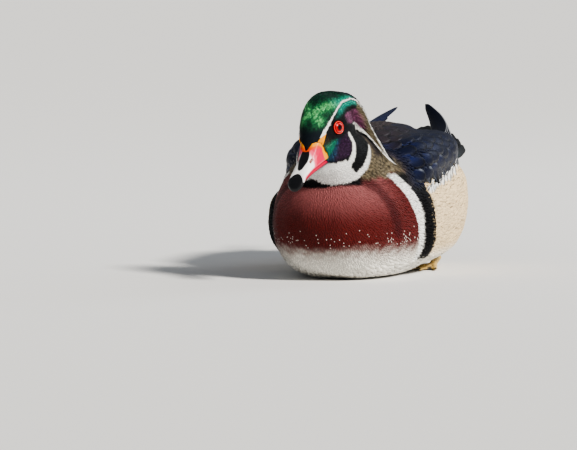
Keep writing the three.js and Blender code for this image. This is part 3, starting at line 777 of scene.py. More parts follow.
def buildCoatTree():
    tree = bpy.data.node_groups.new("feather coat", "GeometryNodeTree")
    for name, kind in coatInputs.items():
        tree.interface.new_socket(name=name, in_out="INPUT", socket_type="NodeSocket" + kind)
    tree.interface.new_socket(name="Geometry", in_out="OUTPUT", socket_type="NodeSocketGeometry")
    put = node(tree, "NodeGroupInput").outputs

    def named(name, kind="FLOAT"):
        return node(tree, "GeometryNodeInputNamedAttribute", {"Name": name}, data_type=kind).outputs["Attribute"]

    def moved(start, way, far):
        reach = node(tree, "ShaderNodeVectorMath", {0: way, "Scale": far}, operation="SCALE")
        return node(tree, "ShaderNodeVectorMath", {0: start, 1: reach.outputs[0]}, operation="ADD").outputs[0]

    vane = node(tree, "GeometryNodeObjectInfo", {"Object": put["Vane"]}).outputs["Geometry"]
    surface = node(tree, "GeometryNodeObjectInfo", {"Object": put["Skin"]}).outputs["Geometry"]
    up, width, along = named("up", "FLOAT_VECTOR"), named("width"), named("along")
    turn = node(tree, "FunctionNodeAxesToRotation", {0: up, 1: named("way", "FLOAT_VECTOR")}, primary_axis="Z", secondary_axis="Y")
    grow = node(tree, "ShaderNodeCombineXYZ", {0: width, 1: named("length"), 2: width})
    lay = node(tree, "GeometryNodeInstanceOnPoints", {
        "Points": put["Geometry"], "Instance": vane, "Rotation": turn.outputs[0], "Scale": grow.outputs[0],
    })
    real = node(tree, "GeometryNodeRealizeInstances", {0: lay.outputs[0]})
    # lay each vane along the skin: nearest place on it, then out by the vane's own height
    near = node(tree, "GeometryNodeProximity", {0: surface}, target_element="FACES")
    normal = node(
        tree, "GeometryNodeSampleNearestSurface", {"Mesh": surface, "Value": named("softNormal", "FLOAT_VECTOR")},
        data_type="FLOAT_VECTOR",
    )
    lifted = maths(tree, "MULTIPLY", maths(tree, "POWER", along, 1.3), named("lift"))
    sunk = maths(tree, "MULTIPLY", put["Root Depth"], maths(tree, "SUBTRACT", 1.0, along))
    height = maths(tree, "ADD", maths(tree, "MULTIPLY", named("rise"), width), lifted)
    height = maths(tree, "SUBTRACT", height, sunk)
    onSkin = moved(near.outputs["Position"], normal.outputs[0], height)
    straight = moved(node(tree, "GeometryNodeInputPosition").outputs[0], up, lifted)
    blend = node(tree, "ShaderNodeMix", {0: put["Follow"], 4: straight, 5: onSkin}, data_type="VECTOR")
    move = node(tree, "GeometryNodeSetPosition", {"Geometry": real.outputs[0], "Position": blend.outputs[1]})
    # each vane's bake patch sits at its root's place on the unwrapped skin
    spot = node(tree, "ShaderNodeCombineXYZ", {0: maths(tree, "MULTIPLY", maths(tree, "ADD", named("across"), 1.0), 0.5), 1: along})
    uv = moved(named("rootUv", "FLOAT_VECTOR"), spot.outputs[0], put["Patch"])
    store = node(
        tree, "GeometryNodeStoreNamedAttribute", {"Geometry": move.outputs[0], "Name": "OFBake", "Value": uv},
        data_type="FLOAT2", domain="CORNER",
    )
    final = node(tree, "GeometryNodeRealizeInstances", {0: store.outputs[0]})
    painted = node(tree, "GeometryNodeSetMaterial", {"Geometry": final.outputs[0], "Material": put["Material"]})
    node(tree, "NodeGroupOutput", {0: painted.outputs[0]})
    return tree


coatTree = buildCoatTree()
socketOf = {s.name: s.identifier for s in coatTree.interface.items_tree if s.in_out == "INPUT"}


def layCoat(name, roots, vane, material, follow=1.0, rootDepth=0.3, patch=0.003, crisp=0.5, colourOf=None):
    # roots holds millimetre arrays: place, up, way, length, width, lift, and the root's place on the unwrap;
    # crisp is how far a vane's colour changes along it rather than being one colour
    count = len(roots["place"])
    mesh = bpy.data.meshes.new(name)
    mesh.from_pydata((roots["place"] * mm).tolist(), [], [])
    setVector(mesh, "up", roots["up"])
    setVector(mesh, "way", roots["way"])
    for key in ("length", "width", "lift"):
        setNumber(mesh, key, roots[key] * mm)
    setVector(mesh, "rootUv", np.concatenate([roots["uv"], np.zeros((count, 1))], 1))
    setNumber(mesh, "which", np.arange(count))
    obj = addObject(name, mesh)
    mod = obj.modifiers.new("coat", "NODES")
    mod.node_group = coatTree
    mod[socketOf["Vane"]] = vanes[vane]
    mod[socketOf["Skin"]] = skin
    mod[socketOf["Follow"]] = float(follow)
    mod[socketOf["Root Depth"]] = rootDepth * mm
    mod[socketOf["Patch"]] = patch
    mod[socketOf["Material"]] = material
    mesh = evaluatedCopy(obj)
    which = np.rint(getNumber(mesh, "which")).astype(int)
    along, across = getNumber(mesh, "along"), getNumber(mesh, "across")
    own = readMesh(mesh) / mm
    c, _ = plumage(own)
    c = mix(roots["colour"][which], c, crisp) * roots["tone"][which][:, None]
    if colourOf is not None:
        c = colourOf(c, along, across, roots, which)
    setColour(mesh, "Plumage", np.clip(c, 0, 1))
    setNumber(mesh, "Gloss", roots["shine"][which])
    setVector(mesh, "Vane", np.stack([across, along, (which * 0.618) % 1 * 40], -1))
    for spare in ("up", "way", "length", "width", "lift", "rootUv", "which", "along", "across", "rise"):
        if spare in mesh.attributes:
            mesh.attributes.remove(mesh.attributes[spare])
    v = readMesh(mesh)
    v[:, 2] = np.maximum(v[:, 2], 0.0)
    writeVertices(mesh, v)
    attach(obj, "root")
    print(name + ":", count, "feathers,", len(mesh.polygons), "faces")


# where feathers grow


def skinSamples(count):
    # points spread evenly by area over the skin, with their normals
    mesh = skin.data
    mesh.calc_loop_triangles()
    tri = np.empty(len(mesh.loop_triangles) * 3, int)
    mesh.loop_triangles.foreach_get("vertices", tri)
    tri = tri.reshape(-1, 3)
    v, n = readMesh(mesh) / mm, normalsOf(mesh)
    a, b, c = v[tri[:, 0]], v[tri[:, 1]], v[tri[:, 2]]
    area = np.linalg.norm(np.cross(b - a, c - a), axis=1)
    pick = dice.choice(len(tri), count, p=area / area.sum())
    s, t = dice.random(count), dice.random(count)
    over = s + t > 1
    s[over], t[over] = 1 - s[over], 1 - t[over]
    w = np.stack([1 - s - t, s, t], -1)[..., None]
    return (v[tri[pick]] * w).sum(1), unit((n[tri[pick]] * w).sum(1))


neighbours = [(x, y, z) for x in (-1, 0, 1) for y in (-1, 0, 1) for z in (-1, 0, 1)]


def thinOut(points, gap):
    # keeps points at least gap apart
    cells, kept = {}, []
    keys = np.floor(points / gap).astype(int)
    limit = gap * gap
    for i, (kx, ky, kz) in enumerate(keys.tolist()):
        x, y, z = points[i]
        for dx, dy, dz in neighbours:
            near = cells.get((kx + dx, ky + dy, kz + dz))
            if near and any((px - x) ** 2 + (py - y) ** 2 + (pz - z) ** 2 < limit for px, py, pz in near):
                break
        else:
            cells.setdefault((kx, ky, kz), []).append((x, y, z))
            kept.append(i)
    return np.array(kept, int)


def unwrapped(p, piece):
    # the head unwraps round its own middle, the body round its long axis
    if piece == "head":
        h = toHead(p) + np.array([12, 0, 10])
        u = np.arctan2(h[:, 1], h[:, 2]) / (2 * math.pi) + 0.5
        v = np.arctan2(h[:, 0], np.hypot(h[:, 1], h[:, 2])) / math.pi + 0.5
    else:
        b = toBody(p)
        u = np.arctan2(b[:, 1], b[:, 2] - 58) / (2 * math.pi) + 0.5
        v = b[:, 0] / 340
    return np.stack([0.01 + 0.975 * np.clip(u, 0, 1), 0.01 + 0.975 * np.clip(v, 0, 1)], -1)


tracts = {  # gap between roots, length, width and lift of the tip, in millimetres
    "face": {"gap": 0.64, "length": 2.1, "width": 0.95, "lift": 0.22, "crisp": 0.85, "vane": "tiny", "look": glossyFeather},
    "crest": {"gap": 1.15, "length": 9.0, "width": 1.15, "lift": 0.55, "crisp": 0.85, "vane": "hair", "look": glossyFeather},
    "neck": {"gap": 1.15, "length": 4.2, "width": 1.7, "lift": 0.4, "crisp": 0.8, "vane": "tiny", "look": softFeather},
    "breast": {"gap": 1.45, "length": 6.2, "width": 2.0, "lift": 0.24, "crisp": 0.85, "vane": "body", "look": softFeather},
    "belly": {"gap": 3.2, "length": 12, "width": 4.6, "lift": 0.25, "crisp": 0.6, "vane": "body", "look": softFeather},
    "flank": {"gap": 2.4, "length": 16, "width": 4.4, "lift": 0.14, "crisp": 0.8, "vane": "body", "look": softFeather},
    "mantle": {"gap": 3.0, "length": 12, "width": 5.2, "lift": 0.4, "crisp": 0.4, "vane": "body", "look": wingFeather},
    "rump": {"gap": 2.9, "length": 14, "width": 5.5, "lift": 0.7, "crisp": 0.5, "vane": "body", "look": softFeather},
}


def tractOf(p):
    b = toBody(p)
    a, u, z = b[:, 0], np.abs(b[:, 1]), b[:, 2]
    onHead, onCrest = headShare(p)
    name = np.full(len(p), "belly", object)
    flankTop = curve(bodyMarks["flankTop"], a)
    name[(z > 15) & (a < 100)] = "breast"
    name[(a < 30)] = "breast"
    name[(a >= 92) & (z > 16) & (z <= flankTop + 1) & (a < 238)] = "flank"
    name[(z > flankTop + 1) & (a > 72)] = "mantle"
    name[(a >= 238)] = "rump"
    name[(z > 84) & (a < 76) & (u < 60)] = "neck"
    h = toHead(p)
    name[onHead] = "face"
    name[onHead & (h[:, 2] < -27)] = "neck"
    name[onCrest] = "crest"
    return name


headTracts = ("face", "crest", "neck")  # these unwrap with the head
growth = {  # places tried before thinning out, and in millimetres what stays bare
    "samples": 700000, "eye": (0.9, 18.6, 2.0), "eyeReach": 6.2, "billMargin": 0.4, "billFrom": 31.5, "billBottom": -30, "floor": 1.0,
}


def growRoots():
    p, n = skinSamples(growth["samples"])
    name = tractOf(p)
    h = toHead(p)
    mirrored = np.stack([h[:, 0], np.abs(h[:, 1]), h[:, 2]], -1)
    bare = np.linalg.norm(mirrored - np.array(growth["eye"]), axis=1) < growth["eyeReach"]
    bare |= bareBill(h + np.array([growth["billMargin"], 0, 0]))
    bare |= (h[:, 0] > growth["billFrom"]) & (h[:, 2] > growth["billBottom"])
    bare |= p[:, 2] < growth["floor"]
    out = {}
    for key, tract in tracts.items():
        mine = np.where((name == key) & ~bare)[0]
        mine = mine[thinOut(p[mine], tract["gap"])]
        q, up = p[mine], n[mine]
        way = lie(q, up)
        count = len(q)
        swing = dice.normal(0, 0.10, count)[:, None]
        way = unit(way + np.cross(up, way) * swing)
        size = dice.uniform(0.88, 1.12, count)
        scale = np.ones(count)
        forward, back = toHead(q)[:, 0], toBody(q)[:, 0]
        if key == "face":
            scale = 0.72 + 0.5 * smooth(24, -8, forward)
        elif key == "breast":
            scale = 0.75 + 0.45 * smooth(10, 80, back)
        elif key == "neck":
            scale = 0.8 + 0.9 * smooth(104, 84, q[:, 2]) * smooth(15, 45, back)
        elif key == "mantle":
            scale = 0.7 + 0.6 * smooth(75, 190, back)
        roots = {
            "place": q, "up": up, "way": way, "uv": unwrapped(q, "head" if key in headTracts else "body"),
            "length": tract["length"] * scale * size, "width": tract["width"] * scale * size,
            "lift": tract["lift"] * scale * dice.uniform(0.75, 1.3, count),
        }
        roots["colour"], roots["shine"] = plumage(q + way * (roots["length"] * 0.62)[:, None])
        roots["tone"] = dice.uniform(0.85, 1.15, count)
        if key == "face":  # glossy feathers vary more
            roots["tone"] = np.where(roots["shine"] > 0.05, np.exp(dice.normal(-0.05, 0.42, count)), roots["tone"])
        out[key] = roots
    return out


roots = growRoots()
print("roots:", {k: len(v["place"]) for k, v in roots.items()})


def breastShade(c, along, across, r, which):
    # a dark base, a lighter rim, and on the lower breast a white fleck at some tips
    z = r["place"][which, 2]
    red = (c[:, 0] > 3 * c[:, 2]) & (c[:, 0] < 0.6)
    c = c * (0.72 + 0.42 * smooth(0.5, 0.98, along) + 0.12 * np.abs(across))[:, None]
    chance = curve([(12, 0.8), (22, 0.6), (30, 0.36), (36, 0.15), (44, 0.03), (48, 0)], z)
    fleck = red & (along > 0.87) & (((which * 0.618) % 1) < chance)
    c[fleck] = paint["belly"]
    return c


def flankShade(c, along, across, r, which):
    # fine wavy dark bars on buff
    pale = c.sum(1) > 1.2
    x = along * r["length"][which]
    bars = smooth(0.35, 0.8, np.sin(x * 2.9 + 1.3 * np.abs(across) + which) * 0.5 + 0.5)
    return np.where(pale[:, None], c * (1 - 0.05 * bars)[:, None], c)


def mantleShade(c, along, across, r, which):
    edge = smooth(0.55, 1.0, np.maximum(np.abs(across), along))
    return c * (0.7 + 0.7 * edge)[:, None]


def wingShade(c, along, across, r, which):
    # velvet black towards the tip and along one web, blue gloss on the other, and a pale rim on the lowest row
    back = toBody(r["place"][which])
    glow = (0.5 + 0.5 * np.sin(which * 2.4)) * smooth(0.9, 0.25, along) * smooth(-0.5, 0.7, across * np.sign(back[:, 1]) * -1)
    c = mix(paint["wing"], paint["wingBlue"], 0.75 * glow)
    bronze = smooth(40, 24, np.abs(back[:, 1])) * smooth(190, 110, back[:, 0])
    c = mix(c, paint["mantle"], 0.75 * bronze)
    c = mix(c, paint["black"], 0.7 * smooth(0.72, 0.95, along))
    rim = smooth(0.80, 0.97, np.abs(across)) * smooth(0.2, 0.6, along)
    silver = rim * r["silver"][which]
    return mix(c, (0.36, 0.39, 0.44), silver * 0.6)


def plumeShade(c, along, across, r, which):
    # buff at the root, then a black bar, white, and a black rim
    x = along
    edge = smooth(0.55, 0.95, np.abs(across))
    buff = np.tile(np.array(paint["buff"]), (len(c), 1))
    c = mix(buff, paint["white"], smooth(0.30, 0.5, x))
    c = mix(c, paint["black"], np.exp(-(((x - 0.42) / 0.07) ** 2)) * 0.55 * r["barred"][which])
    return mix(c, paint["black"], np.clip(edge * smooth(0.45, 0.7, x) + smooth(0.93, 0.99, x), 0, 1) * r["barred"][which])


def skinTree():
    mesh = skin.data
    mesh.calc_loop_triangles()
    return BVHTree.FromPolygons([Vector(q) for q in readMesh(mesh) / mm], [t.vertices[:] for t in mesh.loop_triangles])


tree = skinTree()


def onSkin(back, turn):
    # the skin's outermost place at a distance back, turned so many degrees from straight up towards the left
    t = math.radians(turn)
    out = Vector((math.sin(t), 0, math.cos(t)))
    start = Vector((0, back + breastY, 60)) + out * 160
    place, normal, _, _ = tree.ray_cast(start, -out)
    return (np.array(place), np.array(normal)) if place is not None else (None, None)


def rootsFrom(rows):
    # rows of (place, up, way, length, width, lift) become one set of roots
    place, up, way, length, width, lift = (np.array(c, float) for c in zip(*rows))
    up = unit(up)
    way = unit(way - (way * up).sum(1, keepdims=True) * up)
    c, shine = plumage(place + way * (length * 0.5)[:, None])
    return {
        "place": place, "up": up, "way": way, "uv": unwrapped(place, "body"), "length": length, "width": width, "lift": lift,
        "colour": c, "shine": shine, "tone": dice.uniform(0.9, 1.1, len(place)),
    }


wingRows = {"firstRow": 92, "lastRow": 232, "step": 11.5, "spacing": 10.5, "length": 42, "width": 15.5, "lift": 1.3}


def wingRoots():
    rows, silver = [], []
    count = int((wingRows["lastRow"] - wingRows["firstRow"]) / wingRows["step"]) + 1
    for mirror in (1, -1):
        for i in range(count):
            back = wingRows["firstRow"] + i * wingRows["step"]
            low = curve(bodyMarks["flankTop"], back) + 5
            turn, walked, last = 12.0, wingRows["spacing"] * (0.5 if i % 2 else 0.05), None
            while turn < 80:
                place, up = onSkin(back, turn * mirror)
                turn += 1
                if place is None:
                    continue
                if place[2] < low:
                    break
                if last is not None:
                    walked += np.linalg.norm(place - last)
                last = place
                if walked < wingRows["spacing"]:
                    continue
                walked -= wingRows["spacing"]
                out = (place[2] - low) / 30
                grow = curve([(88, 0.5), (110, 0.75), (150, 1), (200, 1.1), (235, 0.85)], back)
                fall = curve([(90, -0.30), (140, -0.16), (190, 0.0), (235, 0.12)], back)
                way = (mirror * curve([(90, 0.12), (150, 0.0), (235, -0.22)], back), 1, fall)
                length = wingRows["length"] * grow * dice.uniform(0.93, 1.07)
                lift = wingRows["lift"] * dice.uniform(0.8, 1.25)
                rows.append((place, up, way, length, wingRows["width"] * (0.6 + 0.4 * grow), lift))
                silver.append(float(out < 0.45) * 0.8 + 0.12)
    made = rootsFrom(rows)
    made["silver"] = np.array(silver)
    made["shine"][:] = 0.6
    return made


plumeRow = {"from": 104, "to": 238, "spacing": 3.4, "length": 15, "width": 5.2, "lift": 1.6}


def plumeRoots():
    rows, barred = [], []
    for mirror in (1, -1):
        back = plumeRow["from"]
        k = 0
        while back < plumeRow["to"]:
            target = curve(bodyMarks["flankTop"], back) - curve([(100, 7), (180, 9), (238, 13)], back) + (k % 2) * 3
            best = None
            for turn in np.arange(30, 110, 1.0):
                place, up = onSkin(back, turn * mirror)
                if place is not None and (best is None or abs(place[2] - target) < abs(best[0][2] - target)):
                    best = (place, up)
            rise = curve([(100, 0.5), (150, 0.7), (185, 1.2), (238, 1.9)], back) + dice.normal(0, 0.2)
            size = curve([(100, 0.8), (150, 0.95), (190, 1.2), (238, 1.6)], back) * dice.uniform(0.8, 1.25)
            rows.append((best[0], best[1], (0, 1, rise), plumeRow["length"] * size, plumeRow["width"] * size, plumeRow["lift"]))
            barred.append(curve([(100, 1), (185, 0.85), (215, 0.35), (238, 0.3)], back))
            back += plumeRow["spacing"] * size
            k += 1
    made = rootsFrom(rows)
    made["barred"] = np.array(barred)
    made["shine"][:] = 0
    return made


shadeOf = {"breast": breastShade, "flank": flankShade, "mantle": mantleShade}
for key, tract in tracts.items():
    follow = 0.75 if key == "crest" else 1.0
    layCoat(key + "Coat", roots[key], tract["vane"], tract["look"], follow, 0.3, crisp=tract["crisp"], colourOf=shadeOf.get(key))
layCoat("wingCoat", wingRoots(), "broad", wingFeather, 1.0, 0.6, crisp=0, colourOf=wingShade)
layCoat("flankPlumes", plumeRoots(), "plume", softFeather, 1.0, 0.4, crisp=0, colourOf=plumeShade)


# long single feathers: tail, and the quills that stand up behind the wings


def alongSpine(points, t):
    # a smooth curve through the points
    q = np.asarray(points, float)
    n = len(q) - 1
    x = np.clip(t, 0, 1) * n
    i = np.minimum(x.astype(int), n - 1)
    w = (x - i)[:, None]
    a, b, c, d = q[np.maximum(i - 1, 0)], q[i], q[i + 1], q[np.minimum(i + 2, n)]
    return 0.5 * (2 * b + (c - a) * w + (2 * a - 5 * b + 4 * c - d) * w ** 2 + (3 * b - a - 3 * c + d) * w ** 3)


longShape = {"stations": 22, "across": [-1, -0.88, -0.45, 0, 0.45, 0.88, 1], "camber": 0.12, "thinning": 0.6, "ridge": 0.3}


def longFeathers(name, feathers, columns, replaces):
    # each feather: spine, side, half widths, thickness, and a colour rule taking how far along and across
    stations, across = longShape["stations"], longShape["across"]
    loop = [(s, 1) for s in across] + [(s, -1) for s in across[-2:0:-1]]
    size = len(loop)
    verts, faces, colours, uv = [], [], [], []
    for k, feather in enumerate(feathers):
        t = np.linspace(0, 1, stations)
        middle = alongSpine(feather["spine"], t)
        ahead = unit(np.gradient(middle, axis=0))
        way = np.asarray(feather["side"], float)
        side = unit(way - (ahead @ way)[:, None] * ahead)
        up = unit(np.cross(side, ahead))
        half = np.interp(t, *zip(*feather["half"]))
        base = len(verts)
        for i in range(stations):
            for s, face in loop:
                thick = feather["thick"] * (1 - s * s) * (1 - longShape["thinning"] * t[i])
                ridge = longShape["ridge"] * (s == 0) * (1 - t[i])
                rise = longShape["camber"] * half[i] * (1 - s * s)
                verts.append(middle[i] + side[i] * s * half[i] + up[i] * (rise + (thick + ridge) * face))
                colours.append((k, t[i], s))
                uv.append(((k % columns + 0.1 + 0.4 * (s + 1)) / columns, (k // columns + 0.05 + 0.9 * t[i]) / columns))
        for i in range(stations - 1):
            for j in range(size):
                a, b = base + i * size + j, base + i * size + (j + 1) % size
                faces.append((a, b, b + size, a + size))
        faces.append(tuple(base + j for j in range(size))[::-1])
        faces.append(tuple(base + (stations - 1) * size + j for j in range(size)))
    mesh = bpy.data.meshes.new(name)
    mesh.from_pydata((np.array(verts) * mm).tolist(), [], faces)
    key = np.array(colours)
    rgb = np.zeros((len(key), 3))
    for k, feather in enumerate(feathers):
        mine = key[:, 0] == k
        rgb[mine] = feather["paint"](key[mine, 1], key[mine, 2]) * feather["tone"]
    setColour(mesh, "Plumage", np.clip(rgb, 0, 1))
    setNumber(mesh, "Gloss", np.full(len(key), 0.5))
    setVector(mesh, "Vane", np.stack([key[:, 2], key[:, 1], key[:, 0] * 3.7], -1))
    layer = mesh.uv_layers.new(name="OFBake")
    loops = np.empty(len(mesh.loops), int)
    mesh.loops.foreach_get("vertex_index", loops)
    layer.data.foreach_set("uv", np.array(uv)[loops].astype(np.float32).ravel())
    faceOutward(mesh)
    shadeSmooth(mesh)
    mesh.materials.append(wingFeather)
    obj = addObject(name, mesh)
    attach(obj, "root")
    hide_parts(*replaces)
    print(name + ":", len(feathers), "feathers,", len(mesh.polygons), "faces")


tailShape = {  # millimetres; half width, height and arch run along the tail from 0 to 1, outline gives a feather's width
    "count": 12, "root": 262, "tip": 356, "width": 7.2, "thick": 0.45, "rounded": 11,
    "half": [(0, 15), (0.5, 26), (1, 32)], "rise": [(0, 86), (0.35, 91), (1, 110)], "arch": [(0, 5), (1, 19)],
    "outline": [(0, 0.5), (0.3, 0.8), (0.8, 1), (0.93, 0.78), (0.98, 0.45), (1, 0.12)],
}


def tailPaint(t, s):
    c = mix(paint["wing"], paint["black"], 0.5 + 0.5 * smooth(0.5, 0.9, t))
    c = mix(c, (0.012, 0.05, 0.045), 0.6 * smooth(-0.8, 0.2, s) * smooth(0.9, 0.4, t))
    return mix(c, (0.10, 0.09, 0.08), smooth(0.86, 1.0, np.abs(s)) * 0.5 + smooth(0.975, 1, t) * 0.4)


def makeTail():
    feathers = []
    centre = (tailShape["count"] - 1) / 2
    for rank in range(tailShape["count"]):
        side = (rank - centre) / centre
        out = abs(side)
        reach = tailShape["tip"] - tailShape["root"] - tailShape["rounded"] * out ** 3
        spine = []
        for t in np.linspace(0, 1, 6):
            drop = curve(tailShape["arch"], t) * side * side * 0.8
            stacked = (1 - out) * 2.4 * (1 - 0.5 * t) - 1.2
            height = curve(tailShape["rise"], t) - drop + stacked
            spine.append((side * curve(tailShape["half"], t), breastY + tailShape["root"] + reach * t, height))
        slope = -side * curve(tailShape["arch"], 1.0) * 1.6 / 32
        feathers.append({
            "spine": spine, "side": (1, 0, slope), "half": [(t, tailShape["width"] * w) for t, w in tailShape["outline"]],
            "thick": tailShape["thick"], "paint": tailPaint, "tone": dice.uniform(0.85, 1.15),
        })
    feathers.sort(key=lambda q: -abs(q["spine"][0][0]))
    longFeathers("tailFeathers", feathers, 4, ["tail"])


quillOutline = [(0, 0.6), (0.3, 1), (0.55, 0.9), (0.75, 0.68), (0.9, 0.38), (0.97, 0.2)]  # width from root to near the tip
quillShape = {  # spine places are (left, back, up)
    "left": {
        "spine": [(33, 196, 97), (36, 230, 103), (36, 255, 110), (26, 281, 120), (10, 305, 132.5)],
        "count": 5, "wide": 11, "apart": 1.0,
    },
    "right": {
        "spine": [(-32, 196, 99), (-34, 230, 106), (-31, 255, 114), (-25, 281, 122), (-18, 305, 129.5)],
        "count": 3, "wide": 4.4, "apart": 3.4,
    },
}


def quillPaint(t, s):
    c = mix(paint["wing"], paint["wingBlue"], 0.3 * smooth(0.9, -0.3, s) * smooth(1.0, 0.5, t))
    return mix(c, (0.42, 0.43, 0.45), smooth(0.965, 0.99, s) * smooth(0.15, 0.4, t) * 0.8)


def makeQuills():
    for sideName, shape in quillShape.items():
        mirror = 1 if sideName == "left" else -1
        spine = np.array([(x, breastY + a, z) for x, a, z in shape["spine"]])
        beside, fanned = np.array([mirror * 0.9, 0, 0.35]), np.array([mirror * 1.2, 0, -2.2])
        feathers = []
        for k in range(shape["count"]):
            t = np.linspace(0, 1, 6)
            path = alongSpine(spine, t * (1 - 0.085 * k))
            path = path + beside * (k - 1.5) * 1.1 + fanned * (k * shape["apart"] * t[:, None])
            wide = shape["wide"] * (1 - 0.06 * k)
            feathers.append({
                "spine": path, "side": (mirror * 0.75, -0.35, 0.55), "half": [(s, wide * w) for s, w in quillOutline] + [(1, 0.3)],
                "thick": 0.4, "paint": quillPaint, "tone": dice.uniform(0.85, 1.15),
            })
        longFeathers("quills_" + sideName, feathers, 3, ["primaries_" + sideName])


makeTail()
makeQuills()

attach(skin, "root")
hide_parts("trunk", "neck", "head", "crest", "wing_left", "wing_right", "flank_left", "flank_right")


# bill, eyes and feet


def hardMaterial(name, look):
    mat, t, shader, colour = plumageMaterial(name, {
        "Roughness": look["rough"], "Specular IOR Level": look["spec"], "Coat Weight": look["coat"], "Coat Roughness": 0.08,
    })
    t.links.new(colour, shader["Base Color"])
    if look.get("bump"):
        place = node(t, "ShaderNodeTexCoord").outputs["Object"]
        grain = node(t, "ShaderNodeTexNoise", {"Vector": place, "Scale": look["grain"], "Detail": 3})
        bump = node(t, "ShaderNodeBump", {"Strength": look["bump"], "Distance": 0.0003, "Height": grain.outputs[0]})
        t.links.new(bump.outputs[0], shader["Normal"])
    return mat


hardLooks = {
    "bill": {"rough": 0.34, "spec": 0.35, "coat": 0.12, "bump": 0.12, "grain": 900},
    "eye": {"rough": 0.3, "spec": 0.1, "coat": 0.16},
    "eyelid": {"rough": 0.38, "spec": 0.5, "coat": 0.2, "bump": 0.5, "grain": 2200},
    "foot": {"rough": 0.5, "spec": 0.4, "coat": 0.05, "bump": 0.5, "grain": 1300},
}
hard = {k: hardMaterial(k, v) for k, v in hardLooks.items()}


def finish(obj, rgb, look, replaces):
    setColour(obj.data, "Plumage", np.clip(rgb, 0, 1))
    obj.data.materials.clear()
    obj.data.materials.append(hard[look])
    shadeSmooth(obj.data)
    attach(obj, "root")
    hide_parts(*replaces)
    print(obj.name + ":", len(obj.data.polygons), "faces")


billShape = {
    "voxel": 0.38, "grow": 0.2, "smoothing": 16, "lowerSmoothing": 8, "nailRise": 0.55,
    "nostril": {"place": (36.6, -10.7), "long": 2.0, "high": 0.85, "deep": 1.1},
}


def makeBill():
    obj = remeshed("upperBill", mergedCopy("bill_upper", grow=billShape["grow"]), billShape["voxel"])
    v = relax(readMesh(obj.data) / mm, edgesOf(obj.data), billShape["smoothing"])
    writeVertices(obj.data, v * mm)
    h = toHead(v)
    f, l, u = h[:, 0], np.abs(h[:, 1]), h[:, 2]
    nostril = billShape["nostril"]
    ahead, over = f - nostril["place"][0], u - nostril["place"][1]
    lean, cross = ahead * 0.95 + over * 0.3, over * 0.95 + ahead * 0.3
    hole = np.exp(-((lean / nostril["long"]) ** 4) - ((cross / nostril["high"]) ** 4)) * (l > 3)
    rgb, nail = billColour(v)
    # painted shade: the nostril's hole is darker, as well as dented in
    rgb = mix(rgb, paint["nostril"], smooth(0.25, 0.8, hole))
    groove = 0.5 * smooth(0.8, 0, np.abs(f - 51.4 - 0.115 * l * l)) * (u > -22)
    v = v + normalsOf(obj.data) * (billShape["nailRise"] * nail - nostril["deep"] * hole - groove)[:, None]
    writeVertices(obj.data, v * mm)
    finish(obj, rgb, "bill", ["bill_upper"])
    low = remeshed("lowerBill", mergedCopy("bill_lower"), billShape["voxel"])
    v = relax(readMesh(low.data) / mm, edgesOf(low.data), billShape["lowerSmoothing"])
    writeVertices(low.data, v * mm)
    h = toHead(v)
    below = smooth(-20.2, -22.6, h[:, 2] - 0.04 * (h[:, 0] - 30))
    rgb = mix(np.array(paint["billPink"]) * 0.75, paint["underBill"], below)
    rgb = mix(rgb, paint["black"], smooth(50, 54, h[:, 0]))
    finish(low, rgb, "bill", ["bill_lower"])


eyeShape = {  # millimetres in the head's frame; pupil, iris, ring and edge are radii
    "surface": (0.6, 18.6, 2.0), "look": (0.26, 0.95, 0.16), "ball": 7.4, "apex": 1.2, "rings": 30, "around": 60,
    "pupil": 2.1, "iris": 3.5, "ring": 3.95, "edge": 4.75, "lidRounding": 2,
}


def eyeballMesh(sideName, look, middle):
    # a cap of rings round the line of sight, closed behind, with each point's distance from that line and its angle
    ball, rings, around = eyeShape["ball"], eyeShape["rings"], eyeShape["around"]
    aside = unit(np.cross(look, (0, 0, 1)))
    over = np.cross(aside, look)
    full = math.asin(eyeShape["edge"] / ball)
    points, radius, angle = [middle + look * ball], [0.0], [0.0]
    for i in range(1, rings + 1):
        t = full * i / rings
        for j in range(around):
            a = 2 * math.pi * j / around
            rim = aside * math.cos(a) + over * math.sin(a)
            points.append(middle + ball * (look * math.cos(t) + rim * math.sin(t)))
            radius.append(ball * math.sin(t))
            angle.append(a)
    faces = [(0, 1 + j, 1 + (j + 1) % around) for j in range(around)]
    for i in range(rings - 1):
        for j in range(around):
            a, b = 1 + i * around + j, 1 + i * around + (j + 1) % around
            faces.append((a, a + around, b + around, b))
    last = 1 + (rings - 1) * around
    points.append(middle + look * (ball * math.cos(full) - 2.5))
    radius.append(6.0)
    angle.append(0.0)
    faces += [(last + j, len(points) - 1, last + (j + 1) % around) for j in range(around)]
    mesh = bpy.data.meshes.new("eye_" + sideName)
    mesh.from_pydata((fromHead(np.array(points)) * mm).tolist(), [], faces)
    faceOutward(mesh)
    return mesh, np.array(radius), np.array(angle)


